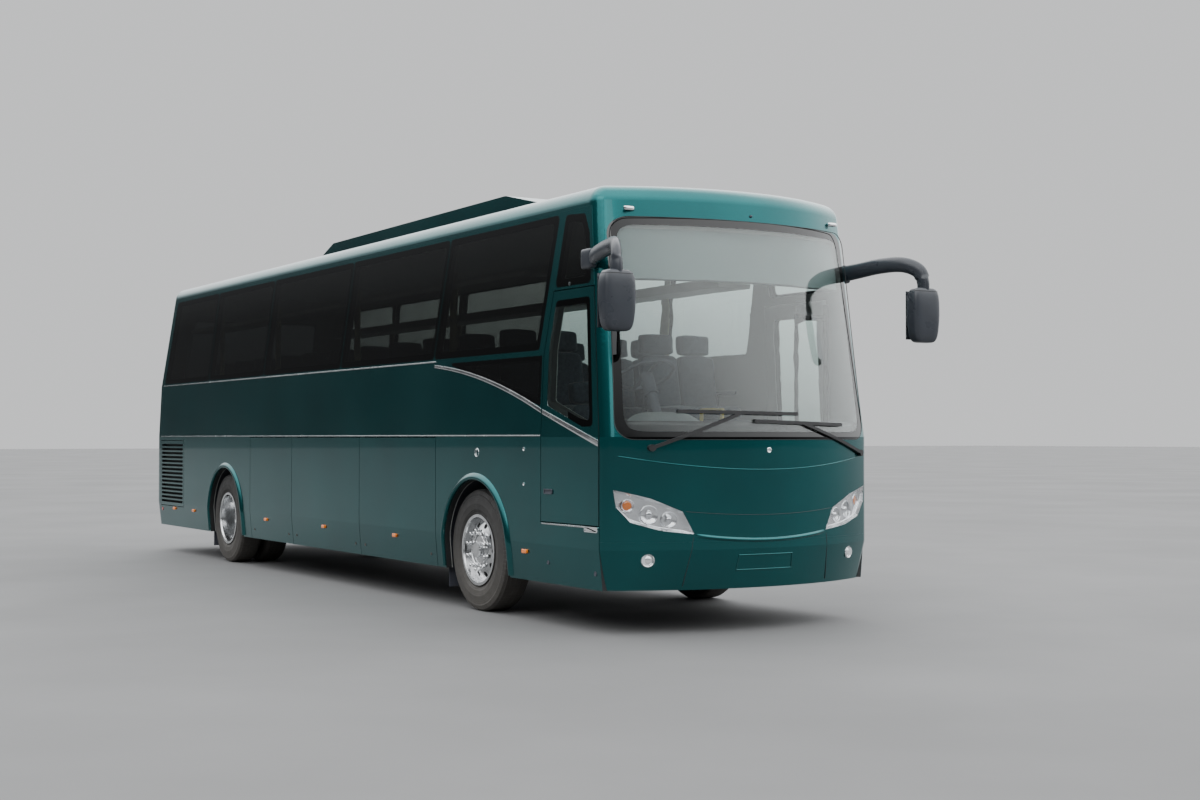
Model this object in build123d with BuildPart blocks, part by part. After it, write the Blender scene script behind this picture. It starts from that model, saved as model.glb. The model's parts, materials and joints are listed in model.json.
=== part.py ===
"""Twelve metre coach: high floor, two axles, full-width nose, luggage bays between the axles.

The frame is x forward, y to the nearside (left), z up from the ground, in millimetres. The origin is
under the middle of the whole length, mirrors included.
"""
import os
from math import asin, atan2, cos, degrees, hypot, radians, sin, sqrt, tan

from build123d import *

os.makedirs("parts", exist_ok=True)

# Overall body
LENGTH = 12000.0
WIDTH = 2550.0
ROOF_Z = 3430.0
SILL_Z = 335.0
WHEELBASE = 6600.0
FRONT_OVERHANG = 2500.0
NOSE_BOW = 345.0
TAIL_BOW = 100.0
NOSE_CORNER_R = 150.0
TAIL_CORNER_R = 150.0
COVE_R = 145.0
WALL = 60.0
GAP = 8.0
SEAT_GAP = 0.3

# Mirrors ahead of the nose
MIRROR_REACH = 220.0

# Levels where the body changes its slope
WIDEST_Z = 640.0
BELT_Z = 1490.0
WAIST_Z = 2150.0
TUMBLEHOME = 0.046
NOSE_LEAN = 0.135
TAIL_LEAN = 0.39
SILL_TUCK = 28.0
NOSE_TUCK = 70.0

# Places along the body
REAR_X = -(LENGTH + MIRROR_REACH) / 2
NOSE_X = REAR_X + LENGTH
FRONT_AXLE_X = NOSE_X - FRONT_OVERHANG
REAR_AXLE_X = FRONT_AXLE_X - WHEELBASE
HALF = WIDTH / 2
INNER_HALF = HALF - WALL

# Wheels
TYRE_R = 522.0
TYRE_WIDTH = 285.0
RIM_R = 288.0
TWIN_GAP = 45.0
TYRE_INBOARD = 42.0
ARCH_R = 600.0
ARCH_SHIFT = 40.0
LIP_OUT = 26.0
LIP_WIDTH = 62.0
LINER_R = 645.0
LINER_T = 6.0
LINER_Y = 590.0

# Glass
GLASS_T = 6.0
GLASS_GAP = 0.3
BOND = 45.0
PANE_GAP = 8.0
PANE_R = 40.0
LOW_PANE_R = 12.0
BAND_LOW_Z = 2185.0
BAND_TOP_Z = 3245.0
PANE_LEAN = 0.24

# Doors and flaps, measured from the front axle
DRIVER_DOOR = (1212.0, 822.0, 2640.0)
PASSENGER_DOOR = (900.0, 1750.0, SILL_Z + 4, 2640.0)
FLAP_TOP_Z = BELT_Z - 6
FLAP_BAYS = (("locker", -5673.0, -4339.0), ("rear_bay", -4339.0, -2475.0), ("front_bay", -2475.0, -734.0))
SIDE_SPLIT_X = 2105.0
PILLAR_LEAN = 0.135
TAIL_SPLIT_X = -9215.0
SPLIT_GAP = 0.3
LOUVRE_DOOR = (-9190.0, -8200.0, 600.0, 1440.0)
ENGINE_DOOR = (780.0, 620.0, 1470.0)
ROOF_SPLIT_Z = 3268.0
DOME_SPLIT_X = 1400.0

# Windscreen
SCREEN_LOW_Z = 1470.0
SCREEN_TOP_Z = 3170.0
SCREEN_HALF = 1190.0
SCREEN_CORNER_R = 130.0

# Floors
DECK_Z = 1330.0
DECK_T = 40.0
BAY_FLOOR_Z = 430.0
PLATFORM_Z = 840.0
PLATFORM_X = 780.0
STEP_X = (880.0, 1770.0)
STEP_Y = 330.0


def along(x):
    """Place along the body of a distance from the front axle."""
    return FRONT_AXLE_X + x


def half_width(z):
    """Half width of the body's outside at a height."""
    if z < WIDEST_Z:
        return HALF - SILL_TUCK * (WIDEST_Z - z) / (WIDEST_Z - SILL_Z)
    return HALF - TUMBLEHOME * max(0.0, z - BELT_Z)


def nose_setback(z):
    """How far the nose lies behind its foremost point at a height."""
    if z < WIDEST_Z:
        return NOSE_TUCK * (WIDEST_Z - z) / (WIDEST_Z - SILL_Z)
    return NOSE_LEAN * max(0.0, z - BELT_Z)


def tail_setback(z):
    """How far the tail lies ahead of its rearmost point at a height."""
    if z < WIDEST_Z:
        return SILL_TUCK * (WIDEST_Z - z) / (WIDEST_Z - SILL_Z)
    return TAIL_LEAN * max(0.0, z - WAIST_Z)


def nose_at(y, z):
    """Outside of the nose at a place across and a height."""
    radius = (HALF ** 2 + NOSE_BOW ** 2) / (2 * NOSE_BOW)
    return NOSE_X - nose_setback(z) - radius + sqrt(radius ** 2 - y ** 2)


def side_end(z):
    """Front edge of the side walls at a height, from the front axle."""
    return SIDE_SPLIT_X - PILLAR_LEAN * max(0.0, z - BELT_Z)


def tail_end(z):
    """Rear edge of the side walls at a height, from the front axle."""
    return TAIL_SPLIT_X + TAIL_LEAN * max(0.0, z - WAIST_Z)


def wall_inside(z):
    """Half width inside the walls at a height, with a seat's clearance."""
    return half_width(z) - WALL - SEAT_GAP


def block(x0, x1, y0, y1, z0, z1, mode=Mode.ADD):
    """Box between six limits."""
    with Locations(((x0 + x1) / 2, (y0 + y1) / 2, (z0 + z1) / 2)):
        Box(abs(x1 - x0), abs(y1 - y0), abs(z1 - z0), mode=mode)


def body_form(inset, bottom_z):
    """Outer form of the body, taken in by an inset all round."""
    with BuildPart() as form:
        for z in (bottom_z, WIDEST_Z, BELT_Z, WAIST_Z, ROOF_Z - inset):
            level = max(z, SILL_Z)
            hw = half_width(level) - inset
            nose = NOSE_X - nose_setback(level) - inset
            tail = REAR_X + tail_setback(level) + inset
            with BuildSketch(Plane.XY.offset(z)) as plan:
                with BuildLine():
                    ThreePointArc((nose - NOSE_BOW, -hw), (nose, 0), (nose - NOSE_BOW, hw))
                    Line((nose - NOSE_BOW, hw), (tail + TAIL_BOW, hw))
                    ThreePointArc((tail + TAIL_BOW, hw), (tail, 0), (tail + TAIL_BOW, -hw))
                    Line((tail + TAIL_BOW, -hw), (nose - NOSE_BOW, -hw))
                make_face()
                fillet(plan.vertices().group_by(Axis.X)[-1], NOSE_CORNER_R - inset)
                fillet(plan.vertices().sort_by(Axis.X)[:2], TAIL_CORNER_R - inset)
        loft(ruled=True)
        fillet(form.faces().sort_by(Axis.Z)[-1].edges(), COVE_R - inset)
    return form.part


OUTER = body_form(0, SILL_Z)
INNER = body_form(WALL, SILL_Z - 50)
GLASS_INSIDE = body_form(GLASS_T, SILL_Z - 50)
REBATE_INSIDE = body_form(GLASS_T + GLASS_GAP, SILL_Z - 50)


def side_slab(side, outside, inside):
    """Whole length of one side between two depths under its outside."""
    levels = (SILL_Z, WIDEST_Z, BELT_Z, ROOF_SPLIT_Z)
    outer = [(side * (half_width(z) - outside), z) for z in levels]
    inner = [(side * (half_width(z) - inside), z) for z in reversed(levels)]
    with BuildSketch(Plane.YZ.offset(REAR_X)) as section:
        with BuildLine():
            Polyline(*outer, *inner, close=True)
        make_face()
    extrude(section.sketch, amount=LENGTH)


def write(builder, label):
    """Label a finished piece and write it."""
    builder.part.label = label
    export_step(builder.part, f"parts/{label}.step")


def side_prism(points, side, radius, mode=Mode.ADD, depth=260.0):
    """Outline on the side of the body, x from the front axle and z, driven through the wall."""
    with BuildSketch(Plane.XZ.offset(-side * (HALF - 60))) as outline:
        with BuildLine():
            Polyline(*[(along(x), z) for x, z in points], close=True)
        make_face()
        if radius:
            fillet(outline.vertices(), radius)
    extrude(outline.sketch, amount=depth, both=True, mode=mode)


def grown(points, amount):
    """Anticlockwise outline moved outwards (inwards when negative) by an amount on every edge."""
    moved = []
    for before, here, after in zip(points[-1:] + points[:-1], points, points[1:] + points[:1]):
        in_dir = Vector(here[0] - before[0], here[1] - before[1]).normalized()
        out_dir = Vector(after[0] - here[0], after[1] - here[1]).normalized()
        in_side = Vector(in_dir.Y, -in_dir.X)
        out_side = Vector(out_dir.Y, -out_dir.X)
        both = in_side + out_side
        step = both * (amount / (1 + in_side.dot(out_side)))
        moved.append((here[0] + step.X, here[1] + step.Y))
    return moved


# Side window outlines: bottom places of the divisions, and the leans of their edges
DIVISIONS = (-9150.0, -7290.0, -5330.0, -3050.0, -840.0, 1130.0)
BAND_H = BAND_TOP_Z - BAND_LOW_Z


def pane_points(rear, front):
    """Four corners of a side pane between two divisions."""
    rear_lean = TAIL_LEAN if rear == DIVISIONS[0] else PANE_LEAN
    return [
        (rear + PANE_GAP / 2, BAND_LOW_Z),
        (front - PANE_GAP / 2, BAND_LOW_Z),
        (front - PANE_GAP / 2 + PANE_LEAN * BAND_H, BAND_TOP_Z),
        (rear + PANE_GAP / 2 + rear_lean * BAND_H, BAND_TOP_Z),
    ]


SIDE_PANES = [pane_points(a, b) for a, b in zip(DIVISIONS[:-1], DIVISIONS[1:])]
LOW_PANE = [(-560.0, 2140.0), (1180.0, 1735.0), (1180.0, 2140.0)]
QUARTER_PANE = [(1345.0, 2668.0), (1900.0, 2668.0), (1850.0, 3060.0), (1770.0, 3215.0), (1478.0, 3235.0)]
DOOR_PANE = [(1290.0, 1740.0), (1850.0, 1568.0), (2010.0, 1568.0), (1890.0, 2565.0), (1375.0, 2565.0),
             (1290.0, 2190.0)]
ENTRY_PANE = [(975.0, 1020.0), (1675.0, 1020.0), (1675.0, 2565.0), (975.0, 2565.0)]
ENTRY_TOP_PANE = [(930.0, 2668.0), (1900.0, 2668.0), (1850.0, 3060.0), (1770.0, 3215.0), (930.0, 3235.0)]
LEFT_LAST_DIVISION = 640.0
LEFT_PANES = SIDE_PANES[:-1] + [pane_points(DIVISIONS[-2], LEFT_LAST_DIVISION)]


def arch_cut(axle_x, side, radius, mode):
    """Wheel arch: a round top over straight sides down past the sill."""
    centre_x = axle_x + ARCH_SHIFT
    with BuildSketch(Plane.XZ.offset(-side * (HALF - 60))) as opening:
        with Locations((centre_x, TYRE_R)):
            Circle(radius)
        with Locations((centre_x, TYRE_R / 2 - 100)):
            Rectangle(2 * radius, TYRE_R + 200)
    extrude(opening.sketch, amount=260, both=True, mode=mode)


def side_skin(points, side, radius=0.0, outside=0.0, inside=WALL):
    """Outline on one side, filled between two depths under the outside of the body."""
    with BuildPart(mode=Mode.PRIVATE) as skin:
        side_slab(side, outside, inside)
        side_prism(points, side, radius, Mode.INTERSECT)
    return skin.part


def cut_window(points, side, radius=PANE_R):
    """Rebate for a bonded pane and the smaller opening behind it."""
    add(side_skin(points, side, radius, -40, GLASS_T + GLASS_GAP), mode=Mode.SUBTRACT)
    side_prism(grown(points, -BOND), side, radius, Mode.SUBTRACT)


def pane_solid(points, side, radius=PANE_R):
    """Pane bonded flush in its rebate."""
    add(side_skin(grown(points, -GLASS_GAP), side, radius, 0, GLASS_T))


def side_span(side, inner=INNER_HALF - 120, outer=HALF + 100):
    """Limits across the body for one side's wall."""
    return (side * inner, side * outer) if side > 0 else (side * outer, side * inner)


# Swan-neck arm of the passenger door, from the front axle and the middle
PIVOT = (1800.0, 1130.0)
ARM_REACH = 400.0
ARM_Z = (1180.0, 2480.0)
ARM_ELBOWS = ((67.0, -85.0), (-13.0, -223.0))
ARM_HALF = 15.0
LEAF_PIN_R = 18.0
PIN_FIT = 0.08
LEAF_LUG_Z = (950.0, 2580.0)
LEAF_LUG_H = 60.0

# Side walls: one panel a side from the tail corner to the nose corner, with its openings
WALL_OUTLINE = [(TAIL_SPLIT_X, SILL_Z - 60), (SIDE_SPLIT_X, SILL_Z - 60), (SIDE_SPLIT_X, BELT_Z),
                (side_end(ROOF_SPLIT_Z), ROOF_SPLIT_Z), (tail_end(ROOF_SPLIT_Z), ROOF_SPLIT_Z),
                (TAIL_SPLIT_X, WAIST_Z)]
door_x0, door_z0, door_z1 = DRIVER_DOOR
DOOR_LEAN_Z = 2150.0
DOOR_OUTLINE = [(door_x0, door_z0), (SIDE_SPLIT_X - GAP, door_z0), (SIDE_SPLIT_X - GAP, BELT_Z),
                (side_end(door_z1) - GAP, door_z1), (door_x0 + PANE_LEAN * (door_z1 - DOOR_LEAN_Z), door_z1),
                (door_x0, DOOR_LEAN_Z)]
SIDES = (("right", -1), ("left", 1))
for side_name, side in SIDES:
    y0, y1 = side_span(side)
    with BuildPart() as wall:
        add(side_skin(WALL_OUTLINE, side))
        for pane in SIDE_PANES if side < 0 else LEFT_PANES:
            cut_window(pane, side)
        if side < 0:
            cut_window(LOW_PANE, side, LOW_PANE_R)
            cut_window(QUARTER_PANE, side)
            side_prism(grown(DOOR_OUTLINE, GAP), side, 0, Mode.SUBTRACT)
            block(along(SIDE_SPLIT_X) - GAP, along(SIDE_SPLIT_X) + GAP, y0, y1, door_z0, BELT_Z,
                  mode=Mode.SUBTRACT)
            side_prism([(SIDE_SPLIT_X - GAP - 2, BELT_Z), (SIDE_SPLIT_X + GAP, BELT_Z),
                        (side_end(door_z1) + GAP, door_z1 + GAP), (side_end(door_z1) - GAP - 2, door_z1 + GAP)],
                       side, 0, Mode.SUBTRACT)
        else:
            cut_window(ENTRY_TOP_PANE, side)
            x0, x1, z0, z1 = PASSENGER_DOOR
            block(along(x0 - GAP), along(x1 + GAP + 6), y0, y1, SILL_Z - 80, z1 + GAP, mode=Mode.SUBTRACT)
        block(along(FLAP_BAYS[0][1]) - GAP / 2, along(FLAP_BAYS[-1][2]) + GAP / 2, y0, y1, SILL_Z - 80,
              FLAP_TOP_Z + GAP, mode=Mode.SUBTRACT)
        lx0, lx1, lz0, lz1 = LOUVRE_DOOR
        block(along(lx0) - GAP, along(lx1) + GAP, y0, y1, lz0 - GAP, lz1 + GAP, mode=Mode.SUBTRACT)
        for axle_x in (FRONT_AXLE_X, REAR_AXLE_X):
            arch_cut(axle_x, side, ARCH_R, Mode.SUBTRACT)
    write(wall, f"side_wall_{side_name}")

    with BuildPart() as glass:
        for pane in SIDE_PANES if side < 0 else LEFT_PANES:
            pane_solid(pane, side)
        if side < 0:
            pane_solid(LOW_PANE, side, LOW_PANE_R)
            pane_solid(QUARTER_PANE, side)
        else:
            pane_solid(ENTRY_TOP_PANE, side)
    write(glass, f"side_glass_{side_name}")

    # Top-hinged flaps over the luggage bays
    for flap_name, fx0, fx1 in FLAP_BAYS:
        with BuildPart() as flap:
            add(side_skin([(fx0 + GAP / 2, SILL_Z - 30), (fx1 - GAP / 2, SILL_Z - 30),
                           (fx1 - GAP / 2, FLAP_TOP_Z), (fx0 + GAP / 2, FLAP_TOP_Z)], side))
        write(flap, f"flap_{flap_name}_{side_name}")

    # Louvred engine-bay door behind the rear wheel
    with BuildPart() as louvre:
        add(side_skin([(lx0, lz0), (lx1, lz0), (lx1, lz1), (lx0, lz1)], side))
        slat_count = 15
        pitch = (lz1 - lz0 - 60) / slat_count
        for i in range(slat_count):
            z = lz0 + 30 + pitch * (i + 0.5)
            block(along(lx0) + 40, along(lx1) - 40, side * (HALF - 45), side * (HALF + 20), z - pitch * 0.3,
                  z + pitch * 0.3, mode=Mode.SUBTRACT)
    write(louvre, f"louvre_door_{side_name}")

# Driver's door on the right, hinged at its front edge
with BuildPart() as driver_door:
    add(side_skin(DOOR_OUTLINE, -1))
    cut_window(DOOR_PANE, -1)
write(driver_door, "driver_door")

with BuildPart() as driver_door_glass:
    pane_solid(DOOR_PANE, -1)
write(driver_door_glass, "driver_door_glass")

# Passenger door on the left, carried by a swan-neck arm
x0, x1, z0, z1 = PASSENGER_DOOR
y0, y1 = side_span(1)
with BuildPart() as passenger_door:
    add(side_skin([(x0, z0), (x1, z0), (x1, z1), (x0, z1)], 1))
    cut_window(ENTRY_PANE, 1)
    for z in LEAF_LUG_Z:
        with Locations((along(PIVOT[0]) - ARM_REACH, PIVOT[1], z)):
            Cylinder(LEAF_PIN_R + 12, LEAF_LUG_H)
        y_leaf = wall_inside(z) + 12
        block(along(PIVOT[0]) - ARM_REACH - 22, along(PIVOT[0]) - ARM_REACH + 22, PIVOT[1], y_leaf,
              z - LEAF_LUG_H / 2, z + LEAF_LUG_H / 2)
        with Locations((along(PIVOT[0]) - ARM_REACH, PIVOT[1], z)):
            Cylinder(LEAF_PIN_R + PIN_FIT, LEAF_LUG_H + 20, mode=Mode.SUBTRACT)
write(passenger_door, "passenger_door")

with BuildPart() as passenger_door_glass:
    pane_solid(ENTRY_PANE, 1)
write(passenger_door_glass, "passenger_door_glass")

# Nose: one moulding round the windscreen, up to the dome and down to the bumper
BUMPER_TOP_Z = 700.0
HEADLIGHT = ((-1205.0, 1095.0), (-1185.0, 960.0), (-1090.0, 850.0), (-880.0, 788.0), (-625.0, 758.0),
             (-715.0, 930.0), (-950.0, 1030.0))
FOG = (960.0, 565.0, 48.0)
MARKER = (985.0, 3235.0, 42.0, 16.0)


def nose_prism(points, radius, mode=Mode.ADD, depth=900.0):
    """Outline on the nose, across and up, driven back through the wall."""
    with BuildSketch(Plane.YZ.offset(NOSE_X + 100)) as outline:
        with BuildLine():
            Polyline(*points, close=True)
        make_face()
        if radius:
            fillet(outline.vertices(), radius)
    extrude(outline.sketch, amount=-depth, mode=mode)


def across(points):
    """Outline mirrored to the other side."""
    return [(-y, z) for y, z in reversed(points)]


SCREEN = [(-SCREEN_HALF, SCREEN_LOW_Z), (SCREEN_HALF, SCREEN_LOW_Z), (SCREEN_HALF - 60, SCREEN_TOP_Z),
          (60 - SCREEN_HALF, SCREEN_TOP_Z)]
LAMPS = (list(HEADLIGHT), across(list(HEADLIGHT)))

NOSE_OUTLINE = [(SIDE_SPLIT_X + SPLIT_GAP, BUMPER_TOP_Z + SPLIT_GAP), (FRONT_OVERHANG + 50, BUMPER_TOP_Z + SPLIT_GAP),
                (FRONT_OVERHANG + 50, ROOF_Z + 50), (DOME_SPLIT_X, ROOF_Z + 50), (DOME_SPLIT_X, ROOF_SPLIT_Z + SPLIT_GAP),
                (side_end(ROOF_SPLIT_Z) + SPLIT_GAP, ROOF_SPLIT_Z + SPLIT_GAP), (SIDE_SPLIT_X + SPLIT_GAP, BELT_Z)]


def length_prism(points, mode=Mode.ADD):
    """Side outline driven across the whole width of the body."""
    with BuildSketch(Plane.XZ) as outline:
        with BuildLine():
            Polyline(*[(along(x), z) for x, z in points], close=True)
        make_face()
    extrude(outline.sketch, amount=HALF + 60, both=True, mode=mode)


with BuildPart() as front_panel:
    add(OUTER)
    length_prism(NOSE_OUTLINE, Mode.INTERSECT)
    add(INNER, mode=Mode.SUBTRACT)
    with BuildPart(mode=Mode.PRIVATE) as rebate:
        nose_prism(SCREEN, SCREEN_CORNER_R)
        add(REBATE_INSIDE, mode=Mode.SUBTRACT)
        length_prism(NOSE_OUTLINE, Mode.INTERSECT)
    add(rebate.part, mode=Mode.SUBTRACT)
    nose_prism(grown(SCREEN, -BOND), SCREEN_CORNER_R - BOND, Mode.SUBTRACT)
    for lamp in LAMPS:
        nose_prism(grown(lamp, SEAT_GAP), 0, Mode.SUBTRACT)
write(front_panel, "front_panel")

with BuildPart() as windscreen:
    add(OUTER)
    length_prism(NOSE_OUTLINE, Mode.INTERSECT)
    nose_prism(grown(SCREEN, -GLASS_GAP), SCREEN_CORNER_R, Mode.INTERSECT)
    add(GLASS_INSIDE, mode=Mode.SUBTRACT)
write(windscreen, "windscreen")

with BuildPart() as front_bumper:
    add(OUTER)
    block(along(SIDE_SPLIT_X) + SPLIT_GAP, NOSE_X + 50, -HALF - 50, HALF + 50, SILL_Z, BUMPER_TOP_Z,
          mode=Mode.INTERSECT)
    add(INNER, mode=Mode.SUBTRACT)
    for y in (-FOG[0], FOG[0]):
        with Locations(Location((NOSE_X - 60, y, FOG[1]), (0, 90, 0))):
            Cylinder(FOG[2] + SEAT_GAP, 500, mode=Mode.SUBTRACT)
write(front_bumper, "front_bumper")

with BuildPart() as headlights:
    for lamp in LAMPS:
        with BuildPart(mode=Mode.PRIVATE) as unit:
            add(OUTER)
            nose_prism(lamp, 0, Mode.INTERSECT)
            length_prism(NOSE_OUTLINE, Mode.INTERSECT)
            add(INNER, mode=Mode.SUBTRACT)
        add(unit.part)
write(headlights, "headlights")

with BuildPart() as front_lamps:
    for y in (-FOG[0], FOG[0]):
        face_x = nose_at(y, FOG[1])
        with Locations(Location((face_x - 35, y, FOG[1]), (0, 90, 0))):
            Cylinder(FOG[2], 50)
write(front_lamps, "front_lamps")

# Roof and its air-conditioning pod
POD = ((-4900.0, 0.0), (-4350.0, 185.0), (-300.0, 205.0), (650.0, 0.0))
POD_HALF = 800.0

def roof_section(inset):
    """Section across the body that the roof keeps along its length."""
    with BuildSketch(Plane.YZ.offset(along(tail_end(ROOF_SPLIT_Z)))) as section:
        with BuildLine():
            Polyline((-half_width(BELT_Z) + inset, BELT_Z), (half_width(BELT_Z) - inset, BELT_Z),
                     (half_width(ROOF_Z - inset) - inset, ROOF_Z - inset),
                     (inset - half_width(ROOF_Z - inset), ROOF_Z - inset), close=True)
        make_face()
        fillet(section.vertices().group_by(Axis.Z)[-1], COVE_R - inset)
    return section.sketch


roof_length = along(DOME_SPLIT_X) - SPLIT_GAP - along(tail_end(ROOF_SPLIT_Z))
with BuildPart() as roof:
    extrude(roof_section(0), amount=roof_length)
    extrude(roof_section(WALL), amount=roof_length, mode=Mode.SUBTRACT)
    block(REAR_X, NOSE_X, -HALF, HALF, 0, ROOF_SPLIT_Z, mode=Mode.SUBTRACT)
write(roof, "roof")

with BuildPart() as roof_pod:
    with BuildSketch(Plane.XZ.offset(-POD_HALF)) as pod_side:
        with BuildLine():
            Polyline(*[(along(x), ROOF_Z + h) for x, h in POD], close=True)
        make_face()
        fillet(pod_side.vertices().group_by(Axis.Y)[-1], 260)
    extrude(amount=2 * POD_HALF)
write(roof_pod, "roof_pod")

# Tail
REAR_PANE = [(-960.0, 2230.0), (960.0, 2230.0), (900.0, 3090.0), (-900.0, 3090.0)]


def tail_prism(points, radius, mode=Mode.ADD, depth=900.0):
    """Outline on the tail, across and up, driven forward through the wall."""
    with BuildSketch(Plane.YZ.offset(REAR_X - 100)) as outline:
        with BuildLine():
            Polyline(*points, close=True)
        make_face()
        if radius:
            fillet(outline.vertices(), radius)
    extrude(outline.sketch, amount=depth, mode=mode)


door_half, door_low, door_top = ENGINE_DOOR
TAIL_OUTLINE = [(-FRONT_OVERHANG * 4, SILL_Z - 50), (TAIL_SPLIT_X - SPLIT_GAP, SILL_Z - 50),
                (TAIL_SPLIT_X - SPLIT_GAP, WAIST_Z), (tail_end(ROOF_SPLIT_Z) - SPLIT_GAP, ROOF_SPLIT_Z),
                (tail_end(ROOF_SPLIT_Z) - SPLIT_GAP, ROOF_Z + 50), (-FRONT_OVERHANG * 4, ROOF_Z + 50)]
with BuildPart() as rear_panel:
    add(OUTER)
    length_prism(TAIL_OUTLINE, Mode.INTERSECT)
    add(INNER, mode=Mode.SUBTRACT)
    block(REAR_X - 50, REAR_X + 250, -door_half - GAP, door_half + GAP, door_low - GAP, door_top + GAP,
          mode=Mode.SUBTRACT)
    with BuildPart(mode=Mode.PRIVATE) as rebate:
        tail_prism(REAR_PANE, 60)
        add(REBATE_INSIDE, mode=Mode.SUBTRACT)
    add(rebate.part, mode=Mode.SUBTRACT)
    tail_prism(grown(REAR_PANE, -BOND), 30, Mode.SUBTRACT)
write(rear_panel, "rear_panel")

with BuildPart() as rear_glass:
    add(OUTER)
    length_prism(TAIL_OUTLINE, Mode.INTERSECT)
    tail_prism(grown(REAR_PANE, -GLASS_GAP), 60, Mode.INTERSECT)
    add(GLASS_INSIDE, mode=Mode.SUBTRACT)
write(rear_glass, "rear_glass")

with BuildPart() as engine_door:
    add(OUTER)
    block(REAR_X - 50, REAR_X + 250, -door_half, door_half, door_low, door_top, mode=Mode.INTERSECT)
    add(INNER, mode=Mode.SUBTRACT)
write(engine_door, "engine_door")

# Floors, bay bulkheads, driver's platform and entry steps
with BuildPart() as floor_deck:
    add(INNER)
    block(REAR_X, along(PLATFORM_X), -HALF, HALF, DECK_Z - DECK_T, DECK_Z, mode=Mode.INTERSECT)
    bay_y = wall_inside(BAY_FLOOR_Z - 30) - 10
    bay_x0 = along(FLAP_BAYS[0][1]) + 15
    bay_x1 = along(FLAP_BAYS[-1][2]) - 15
    block(bay_x0, bay_x1, -bay_y, bay_y, BAY_FLOOR_Z - 30, BAY_FLOOR_Z)
    for x in [along(bay[1]) for bay in FLAP_BAYS] + [along(FLAP_BAYS[-1][2])]:
        block(x - 15, x + 15, -bay_y, bay_y, BAY_FLOOR_Z - 30, DECK_Z - DECK_T)
write(floor_deck, "floor_deck")

with BuildPart() as front_floor:
    add(INNER)
    block(along(PLATFORM_X), NOSE_X, -HALF, HALF, PLATFORM_Z - DECK_T, PLATFORM_Z, mode=Mode.INTERSECT)
    block(along(STEP_X[0]), along(STEP_X[1]), STEP_Y, HALF, PLATFORM_Z - 100, PLATFORM_Z + 10,
          mode=Mode.SUBTRACT)
    block(along(PLATFORM_X), along(PLATFORM_X) + 30, -INNER_HALF, INNER_HALF, PLATFORM_Z - DECK_T, DECK_Z)
    block(along(STEP_X[0]), along(STEP_X[1]), STEP_Y, STEP_Y + 30, SILL_Z + 30, PLATFORM_Z)
    block(along(STEP_X[0]), along(STEP_X[1]), STEP_Y, STEP_Y + 330, SILL_Z + 30, SILL_Z + 275)
    block(along(STEP_X[0]), along(STEP_X[1]), STEP_Y, wall_inside(SILL_Z) - 10, SILL_Z + 10, SILL_Z + 50)
write(front_floor, "front_floor")

# Underframe
RAIL_Y = 430.0
RAIL_W = 70.0
RAIL_LOW_Z = 700.0
RAIL_H = 120.0
LOW_RAIL_Z = 300.0
with BuildPart() as underframe:
    bay0 = along(FLAP_BAYS[0][1]) + 15
    bay1 = along(FLAP_BAYS[-1][2]) - 15
    for y in (-RAIL_Y, RAIL_Y):
        y_in, y_out = y - RAIL_W / 2, y + RAIL_W / 2
        block(along(TAIL_SPLIT_X) + 40, bay0 - 30.3, y_in, y_out, RAIL_LOW_Z, RAIL_LOW_Z + RAIL_H)
        rail_end = along(2000) if y < 0 else along(STEP_X[0]) - 20
        block(bay1 + 30.3, rail_end, y_in, y_out, RAIL_LOW_Z, PLATFORM_Z - DECK_T)
        block(bay0 - 100, bay1 + 100, y_in, y_out, LOW_RAIL_Z, BAY_FLOOR_Z - 30)
        block(bay0 - 100, bay0 - 30.3, y_in, y_out, LOW_RAIL_Z, DECK_Z - DECK_T)
        block(bay1 + 30.3, bay1 + 100, y_in, y_out, LOW_RAIL_Z, DECK_Z - DECK_T)
        for x in (-9000, -7900, -6600):
            block(along(x) - 30, along(x) + 30, y_in, y_out, RAIL_LOW_Z + RAIL_H, DECK_Z - DECK_T)
    for x in (bay0 - 65, bay1 + 65, along(STEP_X[0]) - 50):
        block(x - 30, x + 30, -RAIL_Y, RAIL_Y, RAIL_LOW_Z, PLATFORM_Z - DECK_T)
write(underframe, "underframe")

with BuildPart() as engine:
    block(along(-9050), along(-7750), -RAIL_Y + RAIL_W / 2 + 0.3, RAIL_Y - RAIL_W / 2 - 0.3, 480, 1180)
write(engine, "engine")

# Axles
KINGPIN_Y = 885.0
KINGPIN_R = 18.0
BOSS_R = 42.0
ARM_LENGTH = 240.0
TIE_Z = 400.0
RUN = 0.3

with BuildPart() as front_axle:
    block(FRONT_AXLE_X - 45, FRONT_AXLE_X + 45, -700, 700, 330, 430)
    for side in (-1, 1):
        block(FRONT_AXLE_X - 40, FRONT_AXLE_X + 40, side * 640, side * 730, 330, 560)
        block(FRONT_AXLE_X - 40, FRONT_AXLE_X + 40, side * 700, side * KINGPIN_Y, 480, 560)
        with Locations((FRONT_AXLE_X, side * KINGPIN_Y, TYRE_R)):
            Cylinder(BOSS_R, 170)
            Cylinder(KINGPIN_R, 280)
        with Locations((FRONT_AXLE_X, side * RAIL_Y, (430 + RAIL_LOW_Z) / 2)):
            Cylinder(100, RAIL_LOW_Z - 430)
write(front_axle, "front_axle")

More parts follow.
